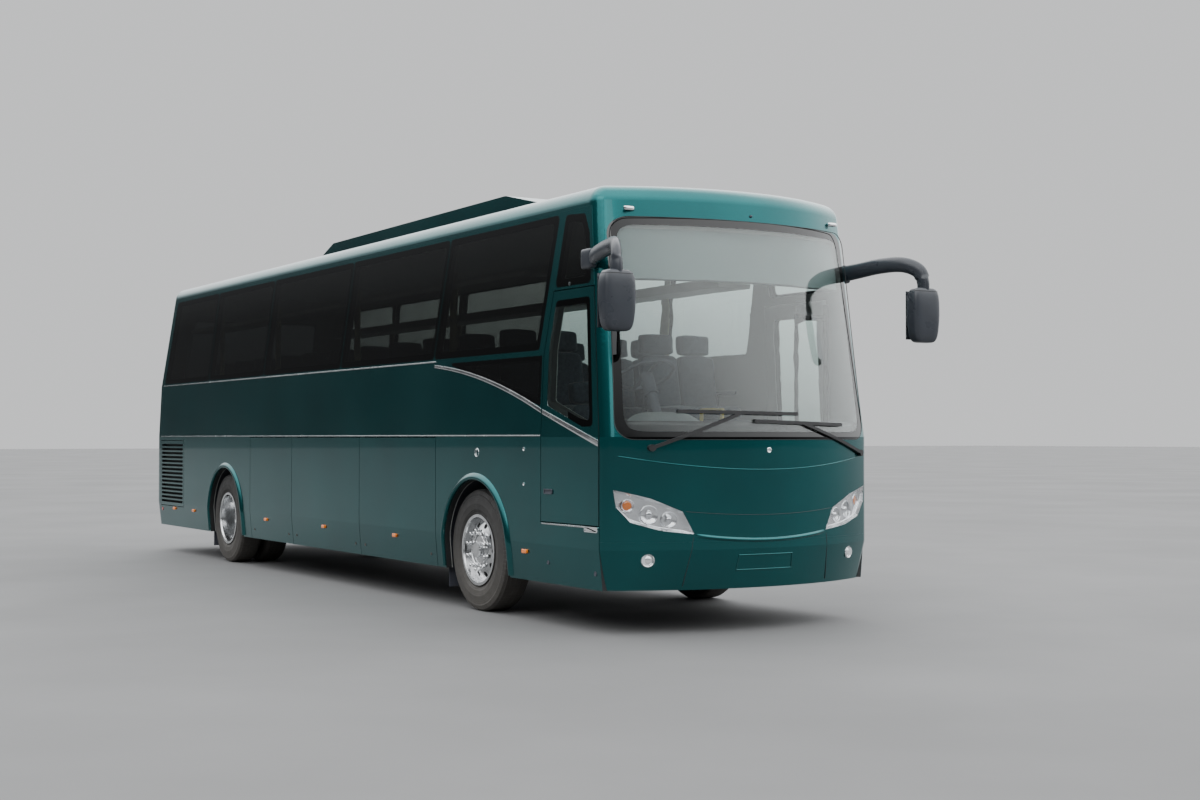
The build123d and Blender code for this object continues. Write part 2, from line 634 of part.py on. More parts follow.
for side_name, side in SIDES:
    with BuildPart() as knuckle:
        with Locations((FRONT_AXLE_X, side * KINGPIN_Y, TYRE_R + 85 + RUN + 25),
                       (FRONT_AXLE_X, side * KINGPIN_Y, TYRE_R - 85 - RUN - 25)):
            Cylinder(BOSS_R, 50)
        block(FRONT_AXLE_X - 40, FRONT_AXLE_X + 40, side * (KINGPIN_Y + 44), side * (KINGPIN_Y + 62),
              TYRE_R - 135, TYRE_R + 135)
        for z in (TYRE_R + 85 + RUN, TYRE_R - 85 - RUN - 50):
            block(FRONT_AXLE_X - 40, FRONT_AXLE_X + 40, side * KINGPIN_Y, side * (KINGPIN_Y + 62), z, z + 50)
        with Locations((FRONT_AXLE_X, side * KINGPIN_Y, TYRE_R)):
            Cylinder(KINGPIN_R + RUN, 300, mode=Mode.SUBTRACT)
        with Locations(Location((FRONT_AXLE_X, side * (KINGPIN_Y + 62 + 70), TYRE_R), (90, 0, 0))):
            Cylinder(32, 140)
        block(FRONT_AXLE_X - ARM_LENGTH - 30, FRONT_AXLE_X - 30, side * (KINGPIN_Y - 20), side * (KINGPIN_Y + 20),
              TYRE_R - 135, TYRE_R - 85 - RUN)
        with Locations((FRONT_AXLE_X - ARM_LENGTH, side * KINGPIN_Y, TYRE_R - 135)):
            Cylinder(12, 100)
    write(knuckle, f"knuckle_{side_name}")

TIE_TOP_Z = TYRE_R - 135 - RUN
with BuildPart() as tie_rod:
    for side in (-1, 1):
        with Locations((FRONT_AXLE_X - ARM_LENGTH, side * KINGPIN_Y, TIE_TOP_Z - 18)):
            Cylinder(26, 36)
    with Locations(Location((FRONT_AXLE_X - ARM_LENGTH, 0, TIE_TOP_Z - 18), (90, 0, 0))):
        Cylinder(16, 2 * KINGPIN_Y)
    for side in (-1, 1):
        with Locations((FRONT_AXLE_X - ARM_LENGTH, side * KINGPIN_Y, TIE_TOP_Z - 18)):
            Cylinder(12 + RUN, 60, mode=Mode.SUBTRACT)
write(tie_rod, "tie_rod")

TWIN_INNER_Y = HALF - TYRE_INBOARD - 2 * TYRE_WIDTH - TWIN_GAP
with BuildPart() as rear_axle:
    with Locations(Location((REAR_AXLE_X, 0, TYRE_R), (90, 0, 0))):
        Cylinder(80, 2 * (TWIN_INNER_Y - 8))
        Cylinder(50, 2 * (HALF - 330))
    with Locations((REAR_AXLE_X, 0, TYRE_R)):
        Sphere(210)
    for y in (-RAIL_Y, RAIL_Y):
        block(REAR_AXLE_X - 430, REAR_AXLE_X + 430, y - 40, y + 40, 430, 500)
        for x in (REAR_AXLE_X - 320, REAR_AXLE_X + 320):
            with Locations((x, y, (500 + RAIL_LOW_Z) / 2)):
                Cylinder(105, RAIL_LOW_Z - 500)
write(rear_axle, "rear_axle")


def turned(points, centre, side, shift=0.0, mode=Mode.ADD):
    """Ring turned about a wheel's axis from its radii and distances outwards."""
    with BuildSketch(Plane(origin=centre, x_dir=(1, 0, 0), z_dir=(0, 0, 1))) as section:
        with BuildLine():
            Polyline(*[(r, side * (out + shift)) for r, out in points], close=True)
        make_face()
    revolve(section.sketch, axis=Axis(centre, (0, 1, 0)), mode=mode)


BARREL = RIM_R - SEAT_GAP
TREAD_HALF = TYRE_WIDTH / 2
HALF_TYRE = ((RIM_R, 25.0), (RIM_R + 22, 25.0), (RIM_R + 60, 6.0), (RIM_R + 110, 0.0), (TYRE_R - 50, 10.0),
             (TYRE_R - 14, 24.0), (TYRE_R, 50.0))
TYRE_SECTION = [(r, TREAD_HALF - inset) for r, inset in HALF_TYRE] + [
    (r, inset - TREAD_HALF) for r, inset in reversed(HALF_TYRE)]
BARREL_SECTION = [(BARREL, -122), (BARREL + 17, -122), (BARREL + 17, -132), (BARREL - 8, -132),
                  (BARREL - 13, -118), (BARREL - 13, 118), (BARREL - 8, 132), (BARREL + 17, 132),
                  (BARREL + 17, 122), (BARREL, 122)]
SPINDLE_R = 32.0
AXLE_R = 50.0
FRONT_DISC = [(BARREL - 6, 40), (BARREL - 6, 60), (160, 112), (70, 112), (62, 150), (0, 150), (0, 65),
              (SPINDLE_R + RUN, 65), (SPINDLE_R + RUN, -60), (120, -60), (120, 86), (158, 96)]
TWIN_SHIFT = (TYRE_WIDTH + TWIN_GAP) / 2
TWIN_DISC = [(BARREL - 6, 110), (BARREL - 6, 92), (170, 0), (BARREL - 6, -92), (BARREL - 6, -110), (160, -28),
             (120, -28), (120, -150), (AXLE_R + RUN, -150), (AXLE_R + RUN, 25), (0, 25), (0, 190), (70, 190),
             (110, 180), (120, 28), (160, 28)]
HOLES = 10
for side_name, side in SIDES:
    front_centre = (FRONT_AXLE_X, side * (HALF - TYRE_INBOARD - TREAD_HALF), TYRE_R)
    rear_centre = (REAR_AXLE_X, side * (HALF - TYRE_INBOARD - TREAD_HALF - TWIN_SHIFT), TYRE_R)
    with BuildPart() as front_tyre:
        turned(TYRE_SECTION, front_centre, side)
    write(front_tyre, f"tyre_front_{side_name}")
    with BuildPart() as rear_tyres:
        turned(TYRE_SECTION, rear_centre, side, TWIN_SHIFT)
        turned(TYRE_SECTION, rear_centre, side, -TWIN_SHIFT)
    write(rear_tyres, f"tyres_rear_{side_name}")
    with BuildPart() as front_rim:
        turned(BARREL_SECTION, front_centre, side)
        turned(FRONT_DISC, front_centre, side)
        with Locations(Plane(origin=front_centre, x_dir=(1, 0, 0), z_dir=(0, 1, 0))):
            with PolarLocations(216, HOLES):
                Cylinder(24, 400, mode=Mode.SUBTRACT)
    write(front_rim, f"rim_front_{side_name}")
    with BuildPart() as rear_rim:
        turned(BARREL_SECTION, rear_centre, side, TWIN_SHIFT)
        turned(BARREL_SECTION, rear_centre, side, -TWIN_SHIFT)
        turned(TWIN_DISC, rear_centre, side)
        with Locations(Plane(origin=rear_centre, x_dir=(1, 0, 0), z_dir=(0, 1, 0))):
            with PolarLocations(222, HOLES):
                Cylinder(22, 400, mode=Mode.SUBTRACT)
    write(rear_rim, f"rim_rear_{side_name}")

# Wheel arch liners with the mudflaps behind the wheels
with BuildPart() as arch_liners:
    for axle_x in (FRONT_AXLE_X, REAR_AXLE_X):
        for side in (-1, 1):
            y_in, y_out = side * LINER_Y, side * (INNER_HALF - SEAT_GAP)
            y_low = side * wall_inside(SILL_Z)
            with BuildSketch(Plane.XZ.offset(-(y_in + y_out) / 2)) as ring:
                with Locations((axle_x, TYRE_R)):
                    Circle(LINER_R)
                    Circle(LINER_R - LINER_T, mode=Mode.SUBTRACT)
                with Locations((axle_x, WIDEST_Z - LINER_R)):
                    Rectangle(2 * LINER_R + 10, 2 * LINER_R, mode=Mode.SUBTRACT)
            extrude(ring.sketch, amount=abs(y_out - y_in) / 2, both=True)
            leg_x = sqrt(LINER_R ** 2 - (WIDEST_Z - TYRE_R) ** 2)
            for end in (-1, 1):
                block(axle_x + end * leg_x, axle_x + end * (leg_x - LINER_T), y_in, y_low, SILL_Z + 10,
                      WIDEST_Z + 5)
            block(axle_x - leg_x, axle_x - leg_x + LINER_T, side * 930, y_low, 160, SILL_Z + 20)
write(arch_liners, "arch_liners")

# Interior
SEAT_PITCH = 780.0
SEAT_ROWS = 11
FIRST_SEAT_X = 250.0
SEAT_PROFILE = [(0, 0), (60, 0), (60, 330), (430, 330), (430, 450), (90, 430), (-90, 1080), (-190, 1060),
                (-60, 400), (0, 330)]
with BuildPart() as passenger_seats:
    for row in range(SEAT_ROWS):
        x = along(FIRST_SEAT_X - row * SEAT_PITCH)
        for side in (-1, 1):
            with BuildSketch(Plane.XZ.offset(-side * 740)) as seat:
                with BuildLine():
                    Polyline(*[(x + px, DECK_Z + pz) for px, pz in SEAT_PROFILE], close=True)
                make_face()
            extrude(seat.sketch, amount=430, both=True)
write(passenger_seats, "passenger_seats")

DRIVER_Y = -620.0
with BuildPart() as driver_seat:
    with BuildSketch(Plane.XZ.offset(-DRIVER_Y)) as seat:
        with BuildLine():
            Polyline(*[(along(1020) + px * 1.1, PLATFORM_Z + pz) for px, pz in SEAT_PROFILE], close=True)
        make_face()
    extrude(seat.sketch, amount=250, both=True)
write(driver_seat, "driver_seat")

with BuildPart() as luggage_racks:
    for side in (-1, 1):
        y_out = side * (half_width(2860) - WALL - SEAT_GAP)
        block(along(-8300), along(700), side * 800, y_out, 2820, 2860)
        block(along(-8300), along(700), side * 800, side * 830, 2820, 2900)
write(luggage_racks, "luggage_racks")

WHEEL_C = (along(1735), DRIVER_Y, 1979.0)
COLUMN_LEAN = 28.0
DASH = [(1900, 1150), (2600, 1150), (2600, 1440), (2040, 1480), (1960, 1430)]
with BuildPart() as dashboard:
    add(INNER)
    with BuildSketch(Plane.XZ) as dash:
        with BuildLine():
            Polyline(*[(along(x), z) for x, z in DASH], close=True)
        make_face()
    extrude(dash.sketch, amount=HALF - 95, both=True, mode=Mode.INTERSECT)
    block(along(2000), along(2160), -1000, 1000, PLATFORM_Z, 1200)
write(dashboard, "dashboard")

column_dir = (sin(radians(COLUMN_LEAN)), 0, -cos(radians(COLUMN_LEAN)))
with BuildPart() as steering_column:
    with Locations(Plane(origin=WHEEL_C, z_dir=column_dir)):
        with Locations((0, 0, 55 + 320)):
            Cylinder(40, 640)
        with Locations((0, 0, 55 + 60)):
            Cylinder(55, 120)
    length_prism(grown(DASH, SEAT_GAP), Mode.SUBTRACT)
write(steering_column, "steering_column")

with BuildPart() as steering_wheel:
    with Locations(Plane(origin=WHEEL_C, z_dir=column_dir)):
        Torus(225, 15)
        with Locations((0, 0, 25)):
            Cylinder(55, 58)
        Box(440, 34, 14)
write(steering_wheel, "steering_wheel")

# Mirrors on arms that reach ahead of the nose
HEAD_X = along(FRONT_OVERHANG + MIRROR_REACH - 70)
HEAD = (140.0, 280.0, 440.0)
HEAD_Y = 1450.0
HEAD_Z = 2470.0
ROOT = (1960.0, 2860.0)
with BuildPart() as mirrors:
    for side in (-1, 1):
        with BuildSketch(Plane.XZ.offset(-side * (half_width(ROOT[1]) + 35))) as arm:
            with BuildLine():
                Polyline((along(ROOT[0] - 90), ROOT[1] - 60), (along(ROOT[0] + 150), ROOT[1] - 75),
                         (HEAD_X - 60, HEAD_Z + 215), (HEAD_X + 60, HEAD_Z + 215), (HEAD_X + 30, ROOT[1] - 10),
                         (HEAD_X - 120, ROOT[1] + 60), (along(ROOT[0] - 90), ROOT[1] + 70), close=True)
            make_face()
        extrude(arm.sketch, amount=65, both=True)
        block(HEAD_X - 45, HEAD_X + 45, side * (half_width(ROOT[1]) + 50), side * HEAD_Y, HEAD_Z + 215, HEAD_Z + 260)
        with Locations((HEAD_X, side * HEAD_Y, HEAD_Z)):
            Box(*HEAD)
    add(body_form(-SEAT_GAP, SILL_Z), mode=Mode.SUBTRACT)
    for side in (-1, 1):
        with BuildPart(mode=Mode.PRIVATE) as flank:
            side_slab(side, -SEAT_GAP, WALL)
        add(flank.part, mode=Mode.SUBTRACT)
write(mirrors, "mirrors")

with BuildPart() as mirror_glass:
    for side in (-1, 1):
        with Locations((HEAD_X - HEAD[0] / 2 - 3.3, side * HEAD_Y, HEAD_Z)):
            Box(6, HEAD[1] - 40, HEAD[2] - 50)
write(mirror_glass, "mirror_glass")

# Wipers: spindle place across and up, then the two ends of the blade, wrapped round the nose
WIPERS = (
    ((-948.0, 1408.0), (-748.0, 1684.0), (313.0, 1669.0)),
    ((1132.0, 1361.0), (-120.0, 1612.0), (842.0, 1587.0)),
)
WIPER_OUT = 22.0


def strip(start, end, width):
    """Corners of a straight strip between two places, anticlockwise."""
    run = (Vector(*end) - Vector(*start)).normalized() * (width / 2)
    return [(start[0] - run.Y, start[1] + run.X), (start[0] + run.Y, start[1] - run.X),
            (end[0] + run.Y, end[1] - run.X), (end[0] - run.Y, end[1] + run.X)]


with BuildPart() as wipers:
    for spindle, inner_end, outer_end in WIPERS:
        middle = ((inner_end[0] + outer_end[0]) / 2, (inner_end[1] + outer_end[1]) / 2)
        nose_prism(strip(inner_end, outer_end, 26), 0)
        nose_prism(strip(spindle, middle, 24), 0)
        with Locations(Location((NOSE_X - 300, *spindle), (0, 90, 0))):
            Cylinder(26, 800)
    add(body_form(-WIPER_OUT, SILL_Z), mode=Mode.INTERSECT)
    add(body_form(-SEAT_GAP, SILL_Z), mode=Mode.SUBTRACT)
    block(REAR_X - 50, along(DOME_SPLIT_X), -HALF - 50, HALF + 50, 0, ROOF_Z + 50, mode=Mode.SUBTRACT)
write(wipers, "wipers")

# Swan-neck arm that carries the passenger door
with BuildPart() as door_arm:
    px, py = along(PIVOT[0]), PIVOT[1]
    post_low = PLATFORM_Z + SEAT_GAP
    with Locations((px, py, (post_low + 2600) / 2)):
        Cylinder(22, 2600 - post_low)
    bends = [(px, py), *[(px + dx, py + dy) for dx, dy in ARM_ELBOWS], (px - ARM_REACH, py)]
    for z in ARM_Z:
        for (xa, ya), (xb, yb) in zip(bends[:-1], bends[1:]):
            middle = Plane(origin=((xa + xb) / 2, (ya + yb) / 2, z), x_dir=(xb - xa, yb - ya, 0), z_dir=(0, 0, 1))
            with Locations(middle):
                Box(sqrt((xb - xa) ** 2 + (yb - ya) ** 2), 2 * ARM_HALF, 40)
        with Locations(*[(x, y, z) for x, y in bends]):
            Cylinder(ARM_HALF, 40)
    with Locations((px - ARM_REACH, py, (LEAF_LUG_Z[0] + LEAF_LUG_Z[1]) / 2)):
        Cylinder(LEAF_PIN_R, LEAF_LUG_Z[1] - LEAF_LUG_Z[0] + LEAF_LUG_H + 10)
write(door_arm, "door_arm")
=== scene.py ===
"""Looks of a twelve metre coach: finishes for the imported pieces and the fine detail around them."""

from __future__ import annotations

import json
import logging
import math
from dataclasses import dataclass, replace
from enum import Enum
from functools import cache
from typing import Callable, Iterable, Sequence

import bpy
from mathutils import Matrix, Vector

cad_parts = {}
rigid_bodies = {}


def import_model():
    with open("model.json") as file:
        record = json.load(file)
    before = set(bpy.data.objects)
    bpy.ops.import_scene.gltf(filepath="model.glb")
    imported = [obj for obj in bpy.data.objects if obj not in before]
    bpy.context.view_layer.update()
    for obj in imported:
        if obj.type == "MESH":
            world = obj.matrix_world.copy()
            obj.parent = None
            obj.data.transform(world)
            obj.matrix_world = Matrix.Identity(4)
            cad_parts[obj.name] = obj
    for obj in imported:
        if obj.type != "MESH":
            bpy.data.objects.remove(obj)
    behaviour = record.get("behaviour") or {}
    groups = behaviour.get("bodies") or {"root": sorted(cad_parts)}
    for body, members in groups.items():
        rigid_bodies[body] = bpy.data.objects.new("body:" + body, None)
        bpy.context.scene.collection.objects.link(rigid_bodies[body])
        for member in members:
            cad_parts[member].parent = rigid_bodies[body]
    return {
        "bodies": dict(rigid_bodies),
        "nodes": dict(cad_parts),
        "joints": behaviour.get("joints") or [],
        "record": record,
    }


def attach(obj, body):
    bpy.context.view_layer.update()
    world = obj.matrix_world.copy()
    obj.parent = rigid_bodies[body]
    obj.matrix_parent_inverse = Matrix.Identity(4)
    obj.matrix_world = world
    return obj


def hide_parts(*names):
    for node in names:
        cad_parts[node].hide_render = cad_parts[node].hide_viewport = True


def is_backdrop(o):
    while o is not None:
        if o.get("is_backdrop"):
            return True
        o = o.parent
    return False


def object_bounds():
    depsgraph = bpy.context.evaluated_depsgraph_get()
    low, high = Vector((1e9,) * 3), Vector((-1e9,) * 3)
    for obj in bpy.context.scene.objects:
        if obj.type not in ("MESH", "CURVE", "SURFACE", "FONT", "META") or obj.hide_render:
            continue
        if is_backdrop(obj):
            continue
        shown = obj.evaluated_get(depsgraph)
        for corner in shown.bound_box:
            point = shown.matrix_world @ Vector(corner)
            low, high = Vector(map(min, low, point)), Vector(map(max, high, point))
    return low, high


LOG = logging.getLogger("coach")
Point = tuple[float, float, float]
Colour = Point
Flat = tuple[float, float]
Socket = bpy.types.NodeSocket
Piece = bpy.types.Object
SIDES = (("right", -1), ("left", 1))

FRONT_AXLE_X = 3.39
REAR_AXLE_X = -3.21
NOSE_X = 5.89
TAIL_X = -6.11
HALF = 1.275
NOSE_RADIUS = 2.5285
TAIL_RADIUS = 8.178
BELT_Z = 1.49
TUCK_Z = 0.64
SIDE_LEAN = 0.046
SIDE_TUCK = 0.0918
DECK_Z = 1.33
TYRE_R = 0.522
FLAPS_REAR = -5.673
FLAPS_FRONT = -0.734
CAB_Y = -0.62


def along(x: float) -> float:
    """Gives the frame's x of a distance from the front axle."""
    return FRONT_AXLE_X + x


def half_width(z: float) -> float:
    """Gives the half width of the body's outside at a height."""
    return HALF - SIDE_LEAN * max(0.0, z - BELT_Z) - SIDE_TUCK * max(0.0, TUCK_Z - z)


def nose_x(y: float, z: float) -> float:
    """Gives the outside of the nose at a place across and a height."""
    setback = 0.135 * max(0.0, z - BELT_Z) + 0.2295 * max(0.0, TUCK_Z - z)
    return NOSE_X - setback - NOSE_RADIUS + math.sqrt(NOSE_RADIUS**2 - y**2)


def nose_way(y: float) -> Vector:
    """Gives the way that the nose faces at a place across."""
    return Vector((math.sqrt(NOSE_RADIUS**2 - y**2), y, 0.0)).normalized()


def tail_x(y: float, z: float) -> float:
    """Gives the outside of the tail at a place across and a height."""
    setback = 0.39 * max(0.0, z - 2.15) + SIDE_TUCK * max(0.0, TUCK_Z - z)
    return TAIL_X + setback + TAIL_RADIUS - math.sqrt(TAIL_RADIUS**2 - y**2)


class Shade(Enum):
    """Colours that several finishes share, as linear red, green and blue."""

    TEAL = (0.0, 0.100, 0.104)
    TEAL_DEEP = (0.0, 0.080, 0.085)
    BLACK = (0.012, 0.013, 0.014)
    INK = (0.0, 0.0, 0.0)
    RUBBER = (0.016, 0.016, 0.017)
    AMBER = (0.95, 0.24, 0.012)
    RED = (0.48, 0.008, 0.010)
    DUST = (0.16, 0.145, 0.125)
    LINING = (0.36, 0.37, 0.36)


class Graph:
    """Short way to lay out the nodes of a material, a world or a node group."""

    def __init__(self, tree: bpy.types.NodeTree) -> None:
        """Keeps the node tree to add to."""
        self.tree = tree

    def node(self, kind: str, **values: object) -> bpy.types.Node:
        """Adds one node.

        Args:
            kind: Blender's name of the node's type, without its start for shader nodes.
            values: Properties by name, or inputs by name with spaces as underscores, or by number
                after an underscore. An output socket given as a value is linked.

        Returns:
            The new node.
        """
        node = self.tree.nodes.new(kind if kind.startswith("NodeGroup") else f"ShaderNode{kind}")
        owned = node.bl_rna.properties
        for name in [name for name in values if name in owned]:
            setattr(node, name, values.pop(name))
        for name, value in values.items():
            socket = node.inputs[int(name[1:]) if name[0] == "_" else name.replace("_", " ")]
            if isinstance(value, Socket):
                self.tree.links.new(value, socket)
            elif isinstance(value, tuple) and socket.type == "RGBA":
                socket.default_value = (*value, 1.0)
            else:
                socket.default_value = value
        return node

    def math(self, operation: str, first: object, second: object = 0.0, clamp: bool = False) -> Socket:
        """Adds a math node over numbers or sockets; clamp keeps the result between 0 and 1."""
        return self.node("Math", operation=operation, use_clamp=clamp, _0=first, _1=second).outputs[0]

    def plus(self, first: object, second: object, clamp: bool = False) -> Socket:
        """Adds two values."""
        return self.math("ADD", first, second, clamp)

    def minus(self, first: object, second: object, clamp: bool = False) -> Socket:
        """Takes the second value from the first."""
        return self.math("SUBTRACT", first, second, clamp)

    def times(self, first: object, second: object, clamp: bool = False) -> Socket:
        """Multiplies two values."""
        return self.math("MULTIPLY", first, second, clamp)

    def rest(self, value: object) -> Socket:
        """Gives what a value lacks to 1."""
        return self.minus(1.0, value)

    def wave(self, value: Socket, rate: float) -> Socket:
        """Gives the sine of a value at a rate."""
        return self.math("SINE", self.times(value, rate))

    def mix(self, factor: object, first: object, second: object) -> Socket:
        """Mixes two colours or sockets; a factor of 0 gives the first."""
        return self.node("Mix", data_type="RGBA", _0=factor, _6=first, _7=second).outputs[2]

    def ramp(self, factor: Socket, stops: Sequence[tuple[float, Colour]]) -> Socket:
        """Adds a colour ramp.

        Args:
            factor: Socket that drives the ramp.
            stops: Places and their colours.

        Returns:
            The colour's socket.
        """
        node = self.node("ValToRGB", Fac=factor)
        elements = node.color_ramp.elements
        while len(elements) < len(stops):
            elements.new(0.5)
        for element, (place, colour) in zip(elements, stops):
            element.position = place
            element.color = (*colour, 1.0)
        return node.outputs[0]

    def place(self) -> Socket:
        """Gives the Object coordinates."""
        return self.node("TexCoord").outputs["Object"]

    def axes(self) -> tuple[Socket, Socket, Socket]:
        """Gives x, y and z of the Object coordinates."""
        parts = self.node("SeparateXYZ", Vector=self.place()).outputs
        return parts["X"], parts["Y"], parts["Z"]

    def noise(self, scale: object, detail: float, **values: object) -> Socket:
        """Gives noise in Object coordinates."""
        return self.node("TexNoise", Vector=self.place(), Scale=scale, Detail=detail, **values).outputs["Fac"]

    def bump(self, height: Socket, strength: object, distance: float) -> Socket:
        """Gives the normal of a relief whose full height is a distance in metres."""
        return self.node("Bump", Height=height, Strength=strength, Distance=distance).outputs["Normal"]

    def group(self, tree: bpy.types.NodeTree, **values: object) -> Socket:
        """Adds a node group and gives its first output."""
        return self.node("Group", node_tree=tree, **values).outputs[0]

    def above(self, value: Socket, level: float, blur: float) -> Socket:
        """Gives 1 where a value is above a level, and 0 below, with a short blur between."""
        return self.math("DIVIDE", self.minus(value, level - blur / 2), blur, clamp=True)


class Effects:
    """Node groups that several finishes share, each built the first time that it is asked for."""

    @staticmethod
    def start(name: str, inputs: dict[str, float], output: str, kind: str = "Float") -> Graph:
        """Starts a shader node group.

        Args:
            name: Name of the group.
            inputs: Float inputs and their defaults.
            output: Name of its output.
            kind: Kind of its output.

        Returns:
            A graph for the group's nodes.
        """
        tree = bpy.data.node_groups.new(name, "ShaderNodeTree")
        for label, value in inputs.items():
            socket = tree.interface.new_socket(label, in_out="INPUT", socket_type="NodeSocketFloat")
            socket.default_value = value
        tree.interface.new_socket(output, in_out="OUTPUT", socket_type=f"NodeSocket{kind}")
        return Graph(tree)

    @classmethod
    @cache
    def road_dust(cls) -> bpy.types.NodeTree:
        """Gives a mask of dry road dust: denser low down and broken up by noise."""
        graph = cls.start("road_dust", {"Top": 0.9, "Amount": 0.5}, "Mask")
        given = graph.node("NodeGroupInput").outputs
        height = graph.axes()[2]
        fall = graph.minus(1.0, graph.math("DIVIDE", height, given["Top"]), clamp=True)
        fine = graph.times(graph.noise(31.0, 4.0), 0.5)
        mixed = graph.times(graph.plus(graph.noise(2.1, 6.0, Roughness=0.62), fine), 1.25)
        mask = graph.times(graph.math("POWER", fall, 1.6), mixed)
        graph.node("NodeGroupOutput", Mask=graph.times(mask, given["Amount"], clamp=True))
        return graph.tree

    @classmethod
    @cache
    def ripple(cls) -> bpy.types.NodeTree:
        """Gives a normal with a faint ripple, as of paint or a grained moulding."""
        graph = cls.start("ripple", {"Scale": 60.0, "Strength": 0.1}, "Normal", "Vector")
        given = graph.node("NodeGroupInput").outputs
        normal = graph.bump(graph.noise(given["Scale"], 3.0), given["Strength"], 0.002)
        graph.node("NodeGroupOutput", Normal=normal)
        return graph.tree

    @classmethod
    @cache
    def wear(cls) -> bpy.types.NodeTree:
        """Gives uneven roughness, as of wiped and dull patches."""
        graph = cls.start("wear", {"Low": 0.2, "High": 0.4, "Scale": 6.0}, "Roughness")
        given = graph.node("NodeGroupInput").outputs
        patches = graph.noise(given["Scale"], 5.0)
        spread = {"From_Min": 0.3, "From_Max": 0.7, "To_Min": given["Low"], "To_Max": given["High"]}
        result = graph.node("MapRange", Value=patches, **spread)
        graph.node("NodeGroupOutput", Roughness=result.outputs["Result"])
        return graph.tree

    @classmethod
    @cache
    def nearest_edge(cls) -> bpy.types.NodeTree:
        """Gives the distance inside a straight edge, blended with the nearest edge so far."""
        inputs = dict.fromkeys(("Across", "Up", "In Across", "In Up", "Offset"), 0.0)
        inputs |= {"Nearest": 9.0, "Round": 0.05}
        graph = cls.start("nearest_edge", inputs, "Nearest")
        given = graph.node("NodeGroupInput").outputs
        reach = graph.plus(
            graph.times(given["Across"], given["In Across"]), graph.times(given["Up"], given["In Up"])
        )
        inside = graph.minus(reach, given["Offset"])
        least = graph.node("Math", operation="SMOOTH_MIN", _0=inside, _1=given["Nearest"], _2=given["Round"])
        graph.node("NodeGroupOutput", Nearest=least.outputs[0])
        return graph.tree

    @classmethod
    @cache
    def wall_depth(cls) -> bpy.types.NodeTree:
        """Gives the depth under the outside of the side walls, in metres."""
        graph = cls.start("wall_depth", {}, "Depth")
        _, across, up = graph.axes()
        high = graph.times(graph.math("MAXIMUM", graph.minus(up, BELT_Z), 0.0), SIDE_LEAN)
        low = graph.times(graph.math("MAXIMUM", graph.minus(TUCK_Z, up), 0.0), SIDE_TUCK)
        outside = graph.minus(graph.minus(HALF, high), low)
        graph.node("NodeGroupOutput", Depth=graph.minus(outside, graph.math("ABSOLUTE", across)))
        return graph.tree

    @classmethod
    @cache
    def inward(cls) -> bpy.types.NodeTree:
        """Gives a mask of the faces that look towards the middle of the cabin."""
        graph = cls.start("inward", {}, "Mask")
        given = graph.node("TexCoord").outputs
        squeezed = graph.node("VectorMath", operation="MULTIPLY", _0=given["Object"], _1=(0.22, 1.0, 1.0))
        outward = graph.node("VectorMath", operation="SUBTRACT", _0=squeezed.outputs[0], _1=(0.0, 0.0, 1.9))
        facing = graph.node("VectorMath", operation="DOT_PRODUCT", _0=outward.outputs[0], _1=given["Normal"])
        graph.node("NodeGroupOutput", Mask=graph.math("LESS_THAN", facing.outputs["Value"], -0.02))
        return graph.tree


class Hidden(Enum):
    """What a painted piece shows away from its outside."""

    NOTHING = "nothing"
    # Black below a depth under the walls' outside: sealant in window rebates, and painted shade inside panel
    # gaps and recesses.
    BY_DEPTH = "by_depth"
    BY_FACING = "by_facing"


class Look:
    """Base of the finishes: a procedural material that is laid out once."""

    name: str

    def shader(self, graph: Graph) -> dict[str, object]:
        """Lays out what the Principled shader takes in, with underscores for spaces; each has its own."""
        raise NotImplementedError

    def material(self) -> bpy.types.Material:
        """Gives the material, built the first time that it is asked for."""
        kept = bpy.data.materials.get(self.name)
        if kept:
            return kept
        material = bpy.data.materials.new(self.name)
        material.use_nodes = True
        material.node_tree.nodes.clear()
        graph = Graph(material.node_tree)
        shader = graph.node("BsdfPrincipled", **self.shader(graph))
        graph.node("OutputMaterial", Surface=shader.outputs[0])
        return material


